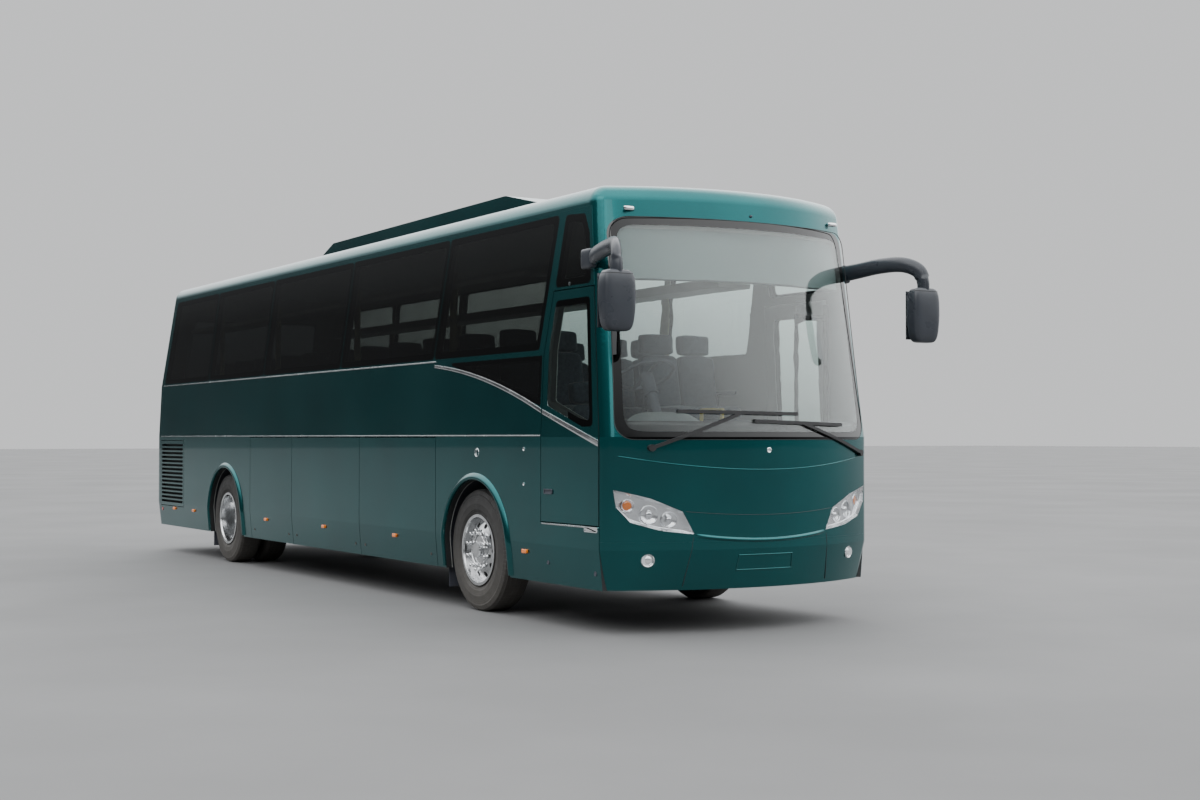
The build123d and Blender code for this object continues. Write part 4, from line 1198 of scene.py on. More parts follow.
@dataclass
class SideLamps:
    """Marker lamps of the sides, and the rear reflectors.

    Attributes:
        up: Height of the markers.
        size: Width and height of a marker.
        fixed: Markers of the side walls, from the front axle; the first two are on both sides.
        flaps: Markers of the flaps: flap, and share of the way from the flaps' rear to their front.
        reflector: Place from the front axle and height of the red reflectors.
    """

    up: float = 0.568
    size: Flat = (0.082, 0.034)
    fixed: tuple[float, ...] = (-8.583, -7.777, 0.943)
    flaps: tuple[tuple[str, float], ...] = (("locker", 0.108), ("rear_bay", 0.45875), ("front_bay", 0.820225))
    reflector: Flat = (-9.130, 0.545)

    def build(self) -> None:
        """Adds every marker and reflector."""
        for name, side in SIDES:
            places = [("body", x) for x in (self.fixed if side < 0 else self.fixed[:2])]
            for flap, share in self.flaps:
                places.append((f"flap_{flap}_{name}", FLAPS_REAR + share * (FLAPS_FRONT - FLAPS_REAR)))
            for index, (body, ahead) in enumerate(places):
                x, y = along(ahead), side * (half_width(self.up) - 0.004)
                w, h = self.size[0] / 2, self.size[1] / 2
                ends, heights = (x - w, x + w), (self.up - h, self.up + h)
                label = f"marker_{name}_{index}"
                lens = Bench.panel(label, ends, heights, y, side * 0.020, 0.010, (0.004, 0.002))
                Bench.modify(lens, "BEVEL", width=0.002, segments=2, limit_method="ANGLE")
                Bench.finish(Bench.smooth(lens, 40.0), AMBER, body)
            steps = ((0.003, 0.001), (0.004, 0.0))
            disc = Bench.stud(f"reflector_{name}", self.reflector, side, 0.001, 0.024, 0.005, steps, 20)
            Bench.finish(disc, RED)


@dataclass
class DoorFittings:
    """Handles, lower strip, locks, latches and grille mesh of the sides.

    Attributes:
        handle: Sill handle's rear end and front end from the front axle, and its height.
        locks: Locks of the right side: place from the front axle, height and radius.
        flaps: Each flap's name, and shares of the flaps' length at its rear and front edge.
        flap_lock_z: Height of the flaps' locks.
        pull: Place from the front axle and height of the bright pull, which latches a side's front panel.
        mesh: Place from the front axle of the grille mesh's ends, and heights of its edges.
        quarter: Place from the front axle and height of the round latch under the quarter window.
    """

    handle: Point = (1.905, 2.095, 0.800)
    locks: tuple[Point, ...] = (
        (0.927, 1.392, 0.017), (0.927, 1.109, 0.014), (1.31, 0.50, 0.017), (2.03, 0.46, 0.019)
    )
    flaps: tuple[tuple[str, float, float], ...] = (
        ("locker", 0.0, 0.27), ("rear_bay", 0.27, 0.6475), ("front_bay", 0.6475, 1.0)
    )
    flap_lock_z: float = 0.44
    pull: Flat = (0.085, 1.357)
    mesh: tuple[Flat, Flat] = ((-9.150, -8.240), (0.632, 1.408))
    quarter: Flat = (1.574, 2.684)

    def build(self) -> None:
        """Adds the fittings of both sides."""
        self.driver_side()
        for name, side in SIDES:
            self.latch(name, side)
            for flap, *edges in self.flaps:
                self.flap_locks(f"{flap}_{name}", side, edges)
            y, ((rear, front), (foot, top)) = side * (HALF - 0.0445), self.mesh
            low, high = (along(rear), y, foot), (along(front), y + side * 0.001, top)
            Bench.finish(Bench.block(f"grille_mesh_{name}", low, high, 0.0002), GRILLE, f"louvre_door_{name}")
        ends, heights = (along(0.93), along(0.96)), (1.10, 1.20)
        grip = Bench.panel("entry_grip", ends, heights, half_width(1.15), 0.008, 0.01)
        Bench.finish(grip, BLACK_PLASTIC, "passenger_door")
        latch = Bench.stud("quarter_latch", self.quarter, -1, -0.0005, 0.015, 0.004, ((0.004, 0.001),), 20)
        Bench.finish(latch, DARK_TRIM)

    def driver_side(self) -> None:
        """Adds the handles, the strip and the locks at the driver's door."""
        rear, front, z = self.handle
        y = -half_width(z)
        ends, heights = (along(rear), along(front)), (z - 0.03, z + 0.012)
        handle = Bench.panel("sill_handle", ends, heights, y, -0.012, 0.007, (0.007, -0.006))
        Bench.finish(handle, CHROME)
        low, high = (along(1.222), y + 0.001, z), (along(rear - 0.01), y - 0.004, z + 0.011)
        Bench.finish(Bench.block("sill_strip", low, high, 0.0015), BRIGHT_TRIM)
        ends, heights = (along(1.27), along(1.40)), (1.04, 1.08)
        grip = Bench.panel("driver_grip", ends, heights, -half_width(1.06), -0.010, 0.012, (0.008, -0.007))
        Bench.finish(grip, BLACK_PLASTIC, "driver_door")
        steps = ((0.004, 0.0), (0.001, -0.002), (0.004, 0.0015))
        for index, (x, z, radius) in enumerate(self.locks):
            lock = Bench.stud(f"lock_{index}", (x, z), -1, 0.001, radius, 0.004, steps, 20)
            Bench.finish(lock, CHROME if z > 1.0 else BLACK_PLASTIC)

    def latch(self, name: str, side: int) -> None:
        """Adds the bright pull in its ring above the front wheel.

        Args:
            name: The side's name.
            side: The side.
        """
        x, z, half = along(self.pull[0]), self.pull[1], (0.008, 0.028)
        y = side * (half_width(z) - 0.001)
        centre = (x, side * (half_width(z) + 0.0005), z)
        frame = Bench.ring("latch_frame", centre, (0.0, side, 0.0), 0.036, 0.003, 32)
        low, high = (x - half[0], y, z - half[1]), (x + half[0], y + side * 0.011, z + half[1])
        Bench.finish(Bench.join(f"latch_{name}", [Bench.block("pull", low, high, 0.003), frame]), CHROME)

    def flap_locks(self, name: str, side: int, edges: Sequence[float]) -> None:
        """Adds the two locks near the lower edge of a luggage flap.

        Args:
            name: Names of the flap and its side.
            side: The side.
            edges: Shares of its rear and front edge.
        """
        locks = []
        for edge, inward in zip(edges, (0.12, -0.12)):
            x = FLAPS_REAR + edge * (FLAPS_FRONT - FLAPS_REAR) + inward
            steps = ((0.004, 0.0), (0.001, -0.002))
            locks.append(Bench.stud("lock", (x, self.flap_lock_z), side, 0.001, 0.014, 0.004, steps, 16))
        Bench.finish(Bench.join(f"flap_locks_{name}", locks), CHASSIS, f"flap_{name}")


@dataclass
class Lights:
    """Headlights in place of their plain solids, and what fills the fog lamps.

    Attributes:
        low: Lower edge of a headlight from its inner tip: across and up.
        top: Its upper edge, from the same end.
        bowls: Place across, height and radius of each bowl; the last is the indicator.
        deep: Depth of the housing.
        skim: Depth of the housing's rim.
        press: Depth of a bowl in the housing.
        fog: Place across and height of a fog lamp.
    """

    low: tuple[Flat, ...] = (
        (0.627, 0.760), (0.760, 0.772), (0.880, 0.789), (1.000, 0.818), (1.090, 0.852), (1.183, 0.962),
        (1.202, 1.060),
    )
    top: tuple[Flat, ...] = (
        (0.714, 0.928), (0.800, 0.964), (0.880, 0.999), (0.950, 1.029), (1.050, 1.055), (1.140, 1.078),
        (1.202, 1.092),
    )
    bowls: tuple[Point, ...] = ((0.955, 0.905, 0.068), (0.808, 0.868, 0.057), (1.105, 0.975, 0.044))
    deep: float = 0.034
    skim: float = 0.002
    press: float = 0.030
    fog: Flat = (0.96, 0.565)

    def build(self) -> None:
        """Adds the headlights and the fog lamps' rings and bulbs."""
        for name, side in SIDES:
            housing = Bench.skin(f"headlight_housing_{name}", 120, 48, lambda u, v: self.pan(side, u, v))
            lens = Bench.skin(f"headlight_lens_{name}", 48, 12, lambda u, v: self.spot(side, u, v, 0.0005))
            Bench.modify(lens, "SOLIDIFY", thickness=0.0015, offset=-1.0)
            for piece, finish in ((housing, REFLECTOR), (lens, LENS)):
                Bench.finish(Bench.smooth(piece, 50.0), finish)
                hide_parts("headlights")
            self.fill(name, side)
            centre, way = self.front(side, self.fog, 0.002)
            Bench.finish(Bench.ring(f"fog_ring_{name}", centre, way, 0.047, 0.006, 36), CHROME)
            centre, way = self.front(side, self.fog, 0.020)
            steps = ((0.008, 0.003), (0.010, 0.004), (0.012, 0.002))
            bulb = Bench.turned(f"fog_bulb_{name}", centre, way, 0.040, 0.010, steps, 28)
            Bench.finish(bulb, REFLECTOR)

    @staticmethod
    def front(side: int, place: Sequence[float], sink: float) -> tuple[Vector, Vector]:
        """Gives the point at a depth under a place of the nose's outside, and the way it faces there."""
        way = nose_way(side * place[0])
        return Vector((nose_x(*place), side * place[0], place[1])) - way * sink, way

    def fill(self, name: str, side: int) -> None:
        """Adds the rims, bulbs and indicator of a headlight.

        Args:
            name: The side's name.
            side: The side.
        """
        rims, bulbs = [], []
        steps = ((0.002, 0.006), (0.004, 0.004), (0.006, 0.002))
        for index, (across, up, radius) in enumerate(self.bowls):
            centre, way = self.front(side, (across, up), self.deep - self.skim)
            rims.append(Bench.ring("rim", centre, way, radius, 0.0045, 40))
            if index < 2:
                bulbs.append(Bench.turned("bulb", centre - way * 0.022, way, radius * 0.40, 0.012, steps, 24))
                continue
            dome = ((radius * 0.12, 0.003), (radius * 0.2, 0.003), (radius * 0.25, 0.0015))
            indicator = Bench.turned(
                f"indicator_{name}", centre - way * 0.012, way, radius * 0.9, 0.006, dome, 28
            )
            Bench.finish(indicator, AMBER)
        Bench.finish(Bench.join(f"lamp_rims_{name}", rims), CHROME)
        Bench.finish(Bench.join(f"bulbs_{name}", bulbs), CHROME)

    @staticmethod
    def edge(points: tuple[Flat, ...], share: float) -> Flat:
        """Gives a place on an edge.

        Args:
            points: The edge's corners.
            share: Share along it.

        Returns:
            The place, across and up.
        """
        place = min(share, 0.99999) * (len(points) - 1)
        index = int(place)
        (y0, z0), (y1, z1) = points[index], points[index + 1]
        return (y0 + (y1 - y0) * (place - index), z0 + (z1 - z0) * (place - index))

    def spot(self, side: int, u: float, v: float, sink: float) -> Point:
        """Gives a place in a headlight's outline, under the outside of the nose.

        Args:
            side: Side of the coach.
            u: Share along the lamp from its inner tip.
            v: Share up.
            sink: Depth under the outside.

        Returns:
            The place.
        """
        (y0, z0), (y1, z1) = self.edge(self.low, u), self.edge(self.top, u)
        y, z = y0 + (y1 - y0) * v, z0 + (z1 - z0) * v
        return (nose_x(y, z) - sink, side * y, z)

    def pan(self, side: int, u: float, v: float) -> Point:
        """Gives a place in the housing, with the bowls pressed in.

        Args:
            side: Side of the coach.
            u: Share along the lamp from its inner tip.
            v: Share up.

        Returns:
            The place.
        """
        rise = min(1.0, 14.0 * min(u, 1.0 - u), 9.0 * min(v, 1.0 - v))
        x, y, z = self.spot(side, u, v, self.skim + (self.deep - self.skim) * rise)
        for across, up, radius in self.bowls:
            reach = ((abs(y) - across) ** 2 + (z - up) ** 2) / radius**2
            x -= self.press * max(0.0, 1.0 - reach)
        return (x, y, z)


@dataclass
class Mirrors:
    """Smooth mirror heads on curved arms in place of the plain solids.

    Attributes:
        path: Places along an arm: ahead, across and up.
        head: Middle of a head.
        half: Half sizes of a head.
        seam: Share of a head's height at which its cap begins.
        section: Half width and half height of an arm, and how much lower it gets along its way.
        foot: Ends of an arm's foot along the coach, its place across and half width, and its heights.
    """

    path: tuple[Point, ...] = (
        (5.270, 1.196, 2.845), (5.440, 1.262, 2.868), (5.680, 1.312, 2.893), (5.880, 1.372, 2.890),
        (6.000, 1.432, 2.835), (6.036, 1.452, 2.745), (6.038, 1.452, 2.640),
    )
    head: Point = (6.040, 1.450, 2.470)
    half: Point = (0.069, 0.136, 0.222)
    seam: float = 0.78
    section: Point = (0.040, 0.068, 0.010)
    foot: tuple[Flat, Flat, Flat] = ((5.20, 5.36), (1.235, 0.03), (2.775, 2.925))

    def build(self) -> None:
        """Adds both mirrors."""
        for name, side in SIDES:
            arm = Bench.skin(f"mirror_arm_{name}", 24, 40, lambda u, v: self.arm_point(side, u, v))
            shell = Bench.skin(f"mirror_head_{name}", 48, 32, lambda u, v: self.head_point(side, u, v))
            for piece in (arm, shell):
                Bench.modify(piece, "WELD", merge_threshold=0.0002)
                Bench.finish(Bench.smooth(piece, 60.0), MIRROR_SHELL)
                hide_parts("mirrors")
            seam = [self.head_point(side, i / 32, self.seam) for i in range(33)]
            Bench.finish(Bench.tube(f"mirror_seam_{name}", seam, 0.0025, 6), RUBBER_SEAL)
            (rear, front), (y, half), (bottom, top) = self.foot
            low, high = (rear, side * y - half, bottom), (front, side * y + half, top)
            foot = Bench.pad(f"mirror_foot_{name}", low, high, (0.004, 0.004, 0.004), waist=0.0)
            Bench.finish(foot, MIRROR_SHELL)

    def arm_point(self, side: int, u: float, v: float) -> Point:
        """Places a point of an arm.

        Args:
            side: Side of the coach.
            u: Share round it.
            v: Share along it.

        Returns:
            The point.
        """
        here = self.spine(v)
        run = (self.spine(v + 0.01) - here if v < 0.99 else here - self.spine(v - 0.01)).normalized()
        wide = Vector((run.y, -run.x, 0.0))
        wide = wide.normalized() if wide.length > 0.25 else Vector((0.0, -1.0, 0.0))
        tall = wide.cross(run).normalized()
        turn, (half, height, fall) = 2.0 * math.pi * u, self.section
        point = here + wide * (half * math.cos(turn)) + tall * ((height - fall * v) * math.sin(turn))
        return (point.x, side * point.y, point.z)

    def spine(self, share: float) -> Vector:
        """Gives a place along an arm on a smooth curve through its places.

        Args:
            share: Share along it.

        Returns:
            The place on the left side.
        """
        last = len(self.path) - 1
        place = min(share, 1.0) * last
        index = min(int(place), last - 1)
        t = place - index
        a, b, c, d = (Vector(self.path[min(max(index + step, 0), last)]) for step in (-1, 0, 1, 2))
        bend = (2.0 * a - 5.0 * b + 4.0 * c - d) * t**2 + (3.0 * b - a - 3.0 * c + d) * t**3
        return 0.5 * (2.0 * b + (c - a) * t + bend)

    def head_point(self, side: int, u: float, v: float) -> Point:
        """Places a point of a head, a box with very round edges.

        Args:
            side: Side of the coach.
            u: Share round it.
            v: Share up it.

        Returns:
            The point.
        """

        def bent(value: float, power: float) -> float:
            """Raises a value to a power and keeps its sign."""
            return math.copysign(abs(value) ** power, value)

        turn, rise = 2.0 * math.pi * u, math.pi * (v - 0.5)
        up = bent(math.sin(rise), 0.55)
        wide = bent(math.cos(rise), 0.32) * (1.0 - 0.10 * max(0.0, -up))
        x = self.head[0] + self.half[0] * wide * bent(math.cos(turn), 0.42)
        y = self.head[1] + self.half[1] * wide * bent(math.sin(turn), 0.42)
        return (x, side * y, self.head[2] + self.half[2] * up)


@dataclass
class SideTrim:
    """Bright strips along the sides, and the sweep that falls to the nose.

    Attributes:
        proud: How far the strips stand out.
        strips: Name, height and width of each strip, and its front end on the right and on the left.
        ends: Rear end of the strips, from the front axle.
        sweep: Rear end, middle and knee of the sweep.
        tip: Its front end on the driver's door.
    """

    proud: float = 0.0035
    strips: tuple[tuple[str, float, float, dict[int, float]], ...] = (
        ("window_strip", 2.159, 0.011, {-1: -0.790, 1: 0.880}),
        ("waist_strip", 1.496, 0.009, {-1: 1.198, 1: 0.880}),
    )
    ends: float = -9.190
    sweep: tuple[Flat, Flat, Flat] = ((-0.815, 2.137), (0.043, 2.020), (1.198, 1.717))
    tip: Flat = (2.092, 1.468)

    def build(self) -> None:
        """Adds the strips and the sweep."""
        for name, side in SIDES:
            for start, low, width, fronts in self.strips:
                y = half_width(low)
                corner = (along(self.ends), side * (y - 0.002), low)
                other = (along(fronts[side]), side * (y + self.proud), low + width)
                Bench.finish(Bench.block(f"{start}_{name}", corner, other, 0.0015), BRIGHT_TRIM)
        rear, _, knee = self.sweep
        self.band("sweep", (rear[0], knee[0]), self.curve, (0.026, 0.036), 40)
        self.band("door_sweep", (knee[0] + 0.020, self.tip[0]), self.line, (0.037, 0.050), 10, "driver_door")

    def curve(self, x: float) -> float:
        """Gives the height of the sweep's curved part, a parabola through its three places."""
        (x0, z0), (x1, z1), (x2, z2) = self.sweep
        return (
            z0 * (x - x1) * (x - x2) / ((x0 - x1) * (x0 - x2))
            + z1 * (x - x0) * (x - x2) / ((x1 - x0) * (x1 - x2))
            + z2 * (x - x0) * (x - x1) / ((x2 - x0) * (x2 - x1))
        )

    def line(self, x: float) -> float:
        """Gives the height of the sweep's straight part."""
        (x0, z0), (x1, z1) = self.sweep[2], self.tip
        return z0 + (x - x0) * (z1 - z0) / (x1 - x0)

    def band(
        self, name: str, ends: Flat, level: Callable[[float], float], widths: Flat, cuts: int,
        body: str = "body",
    ) -> None:
        """Adds one part of the sweep.

        Args:
            name: Its name.
            ends: Its rear and front end, from the front axle.
            level: Gives its upper edge's height.
            widths: Its width at the rear and at the front.
            cuts: How many pieces it is cut in along its length.
            body: Body that carries it.
        """

        def spot(u: float, v: float) -> Point:
            """Places a point of the band."""
            x = ends[0] + u * (ends[1] - ends[0])
            z = level(x) - (1.0 - v) * (widths[0] + u * (widths[1] - widths[0]))
            return (along(x), -half_width(z) - self.proud, z)

        piece = Bench.skin(name, cuts, 3, spot)
        Bench.modify(piece, "SOLIDIFY", thickness=0.004, offset=-1.0)
        Bench.modify(piece, "BEVEL", width=0.001, segments=2, limit_method="ANGLE")
        Bench.finish(Bench.smooth(piece, 40.0), BRIGHT_TRIM, body)


@dataclass
class Flares:
    """Lips round the wheel arches.

    Attributes:
        radius: Radius of an arch.
        shift: How far an arch's middle lies ahead of its axle.
        foot: Height of a lip's feet.
        section: Section of a lip: how far from the arch's edge, and how far out.
    """

    radius: float = 0.600
    shift: float = 0.040
    foot: float = 0.352
    section: tuple[Flat, ...] = (
        (0.001, -0.030), (0.001, 0.010), (0.004, 0.020), (0.012, 0.0255), (0.024, 0.025), (0.040, 0.017),
        (0.054, 0.007), (0.064, -0.002),
    )

    def build(self) -> None:
        """Adds the four lips."""
        rows = len(self.section) - 1
        for name, side in SIDES:
            for end, axle_x in (("front", FRONT_AXLE_X), ("rear", REAR_AXLE_X)):
                lip = Bench.skin(
                    f"arch_lip_{end}_{name}", 72, rows, lambda u, v: self.spot(axle_x, side, u, v)
                )
                Bench.finish(Bench.smooth(lip, 60.0), FLARE_PAINT)

    def spot(self, axle_x: float, side: int, u: float, v: float) -> Point:
        """Places a point of a lip.

        Args:
            axle_x: Place of the axle.
            side: Side of the coach.
            u: Share round the arch from its rear foot.
            v: Share across the section.

        Returns:
            The point.
        """
        away, out = self.section[round(v * (len(self.section) - 1))]
        reach = self.radius + away
        straight, bow = TYRE_R - self.foot, math.pi * self.radius
        travel = u * (2.0 * straight + bow)
        if travel < straight:
            x, z = -reach, self.foot + travel
        elif travel < straight + bow:
            turn = (travel - straight) / self.radius
            x, z = -reach * math.cos(turn), TYRE_R + reach * math.sin(turn)
        else:
            x, z = reach, TYRE_R - (travel - straight - bow)
        return (axle_x + self.shift + x, side * (half_width(z) + out), z)


@dataclass
class NoseLines:
    """Crease, seams, ledge, roof markers, lock and plate frame of the nose.

    Attributes:
        marker: Place across and height of a roof marker.
        lock: Place across and height of the lock.
        plate: Corners of the plate's frame, across and up.
        ledge: Half width of the bumper's ledge.
    """

    marker: Flat = (0.985, 3.235)
    lock: Flat = (0.015, 1.389)
    plate: tuple[Flat, ...] = ((-0.262, 0.478), (0.262, 0.478), (0.250, 0.592), (-0.250, 0.592))
    ledge: float = 0.626

    def build(self) -> None:
        """Adds the lines of the nose."""
        self.crease("nose_crease", 1.170, (1.240, 0.110), 0.0055, FLARE_PAINT)
        self.crease("nose_seam", 0.690, (0.896, 0.100), 0.0022, RUBBER_SEAL)
        ledge = Bench.skin("bumper_ledge", 60, 10, self.ledge_point)
        Bench.finish(Bench.smooth(ledge, 60.0), FLARE_PAINT)
        for name, side in SIDES:
            seam = [(0.632 + 0.05 * t, 0.735 - 0.37 * t) for t in (0, 0.25, 0.5, 0.75, 1)]
            points = [(nose_x(y, z) - 0.0006, side * y, z) for y, z in seam]
            Bench.finish(Bench.tube(f"bumper_seam_{name}", points, 0.0024, 6), RUBBER_SEAL)
            x, y, z = nose_x(*self.marker), side * self.marker[0], self.marker[1]
            low, high = (x - 0.012, y - 0.044, z - 0.015), (x + 0.012, y + 0.044, z + 0.015)
            marker = Bench.pad(f"roof_marker_{name}", low, high, (0.004, 0.002, 0.002), waist=0.0)
            Bench.finish(marker, CHROME)
        frame = []
        for (y0, z0), (y1, z1) in zip(self.plate, self.plate[1:] + self.plate[:1]):
            frame += [(y0 + (y1 - y0) * t, z0 + (z1 - z0) * t) for t in (0.0, 0.25, 0.5, 0.75)]
        points = [(nose_x(y, z) + 0.0005, y, z) for y, z in frame + frame[:1]]
        Bench.finish(Bench.tube("plate_frame", points, 0.0055, 8), FLARE_PAINT)
        base = (nose_x(*self.lock) - 0.001, *self.lock)
        steps = ((0.004, 0.002), (0.004, -0.002))
        Bench.finish(Bench.turned("nose_lock", base, (1.0, 0.0, 0.0), 0.021, 0.004, steps, 24), CHROME)

    def crease(self, name: str, reach: float, bow: Flat, radius: float, finish: Finish) -> None:
        """Adds one curved line across the nose.

        Args:
            name: Its name.
            reach: How far across it goes.
            bow: Its height in the middle, and how much higher it is at 1.2 m across.
            radius: Its radius.
            finish: Its finish.
        """
        points = []
        for step in range(-16, 17):
            y = reach * step / 16
            z = bow[0] + bow[1] * (y / 1.2) ** 2
            points.append((nose_x(y, z) - radius * 0.4, y, z))
        Bench.finish(Bench.tube(name, points, radius, 8), finish)

    def ledge_point(self, u: float, v: float) -> Point:
        """Places a point of the rounded ledge along the top of the bumper.

        Args:
            u: Share across.
            v: Share up.

        Returns:
            The point.
        """
        y = (2.0 * u - 1.0) * self.ledge
        z = 0.704 + 0.045 * (y / self.ledge) ** 2 + 0.034 * (v - 0.5)
        fade = min(1.0, 12.0 * min(u, 1.0 - u))
        return (nose_x(y, z) - 0.001 + 0.012 * fade * math.sin(math.pi * v), y, z)


@dataclass
class ScreenFittings:
    """Rubber bead round the windscreen, and the dark shelf behind its foot.

    Attributes:
        half: Half width of the bead at the bottom.
        heights: Its bottom and top.
        taper: How much narrower each side is at the top.
        radius: Radius of its corners.
        step: Longest distance between two of its points.
    """

    half: float = 1.1905
    heights: Flat = (1.4695, 3.1705)
    taper: float = 0.060
    radius: float = 0.130
    step: float = 0.12

    def build(self) -> None:
        """Adds the bead and the shelf."""
        points = [(nose_x(y, z) - 0.001, y, z) for y, z in self.outline()]
        Bench.finish(Bench.tube("screen_seal", points + points[:1], 0.0035, 6), RUBBER_SEAL)

        def shelf(u: float, v: float) -> Point:
            """Places a point of the upright band behind the glass."""
            y, z = (u - 0.5) * 2.20, 1.500 + v * 0.110
            return (nose_x(y, z) - 0.030, y, z)

        band = Bench.skin("screen_shelf", 40, 3, shelf)
        Bench.modify(band, "SOLIDIFY", thickness=0.012, offset=-1.0)
        Bench.finish(band, DARK_SHELF)

    def outline(self) -> list[Flat]:
        """Gives points round the bead.

        Returns:
            The points, across and up.
        """
        low, top = self.heights
        points = []
        for right, up, start in ((1, 0, -90), (1, 1, 0), (-1, 1, 90), (-1, 0, 180)):
            side = self.half - (self.taper if up else 0.0) - self.radius
            middle = top - self.radius if up else low + self.radius
            for step in range(7):
                turn = math.radians(start + 15 * step)
                across, rise = self.radius * math.cos(turn), self.radius * math.sin(turn)
                points.append((right * side + across, middle + rise))
        full = []
        for (y0, z0), (y1, z1) in zip(points, points[1:] + points[:1]):
            cuts = max(1, int(math.hypot(y1 - y0, z1 - z0) / self.step))
            full += [(y0 + (y1 - y0) * i / cuts, z0 + (z1 - z0) * i / cuts) for i in range(cuts)]
        return full


@dataclass
class Cab:
    """Instrument hood, dials, inside mirror, dash boxes and grab rail."""

    def build(self) -> None:
        """Adds the cab's fittings."""
        hood = Bench.skin("instrument_hood", 24, 8, self.hood_point)
        Bench.modify(hood, "SOLIDIFY", thickness=0.02, offset=-1.0)
        Bench.finish(Bench.smooth(hood, 40.0), DASH)
        self.dials()
        self.inside_mirror()
        self.dash_boxes()
        x0, x1, low, top = along(1.02), along(1.30), 0.86, 1.72
        rail = [(x0, 0.40, low), (x0, 0.40, top), (x1, 0.42, top), (x1, 0.42, low)]
        Bench.finish(Bench.tube("grab_rail", rail, 0.016, 12), RAIL_PAINT)

    @staticmethod
    def hood_point(u: float, v: float) -> Point:
        """Places a point of the hood over the instruments.

        Args:
            u: Share across.
            v: Share towards the nose.

        Returns:
            The point.
        """
        arch = math.sqrt(max(0.0, 1.0 - (2.0 * u - 1.0) ** 4))
        return (along(1.97) + v * 0.24, CAB_Y + (u - 0.5) * 0.74, 1.465 + arch * (0.20 - 0.10 * v))

    @staticmethod
    def dials() -> None:
        """Adds the dials under the hood, on their board."""
        steps, way = ((0.004, 0.004), (0.003, -0.006)), (-1.0, 0.0, 0.35)
        dials = [
            Bench.turned("dial", (along(2.07), y, 1.545), way, radius, 0.02, steps, 28)
            for y, radius in ((-0.74, 0.062), (-0.50, 0.062), (CAB_Y, 0.036))
        ]
        Bench.finish(Bench.join("dials", dials), BLACK_PLASTIC)
        board = Bench.block("dial_board", (along(2.06), -0.96, 1.44), (along(2.18), -0.28, 1.60), 0.01)
        Bench.finish(board, DASH)

    @staticmethod
    def inside_mirror() -> None:
        """Adds the mirror that hangs behind the windscreen from the header."""
        x = nose_x(0.02, 2.9) - 0.20
        low, high = (x, -0.045, 2.76), (x + 0.07, 0.075, 3.08)
        pod = Bench.pad("inside_mirror", low, high, (0.006, 0.004, 0.006), waist=0.0)
        line = [(x + 0.035, 0.015, 3.05), (x + 0.10, 0.015, 3.19), (x + 0.16, 0.015, 3.215)]
        Bench.finish(Bench.join("inside_mirror", [pod, Bench.tube("stalk", line, 0.012, 10)]), BLACK_PLASTIC)

    @staticmethod
    def dash_boxes() -> None:
        """Adds the box and the vents along the top of the dash."""
        pieces = [Bench.block("till", (along(1.93), -0.16, 1.44), (along(2.10), 0.14, 1.62), 0.02)]
        for y in (-1.0, -0.2, 0.25, 0.62, 0.98):
            x = min(along(2.42), nose_x(y, 1.46) - 0.14)
            pieces.append(Bench.block("vent", (x - 0.05, y - 0.11, 1.435), (x, y + 0.11, 1.452), 0.004))
        Bench.finish(Bench.join("dash_boxes", pieces), BLACK_PLASTIC)


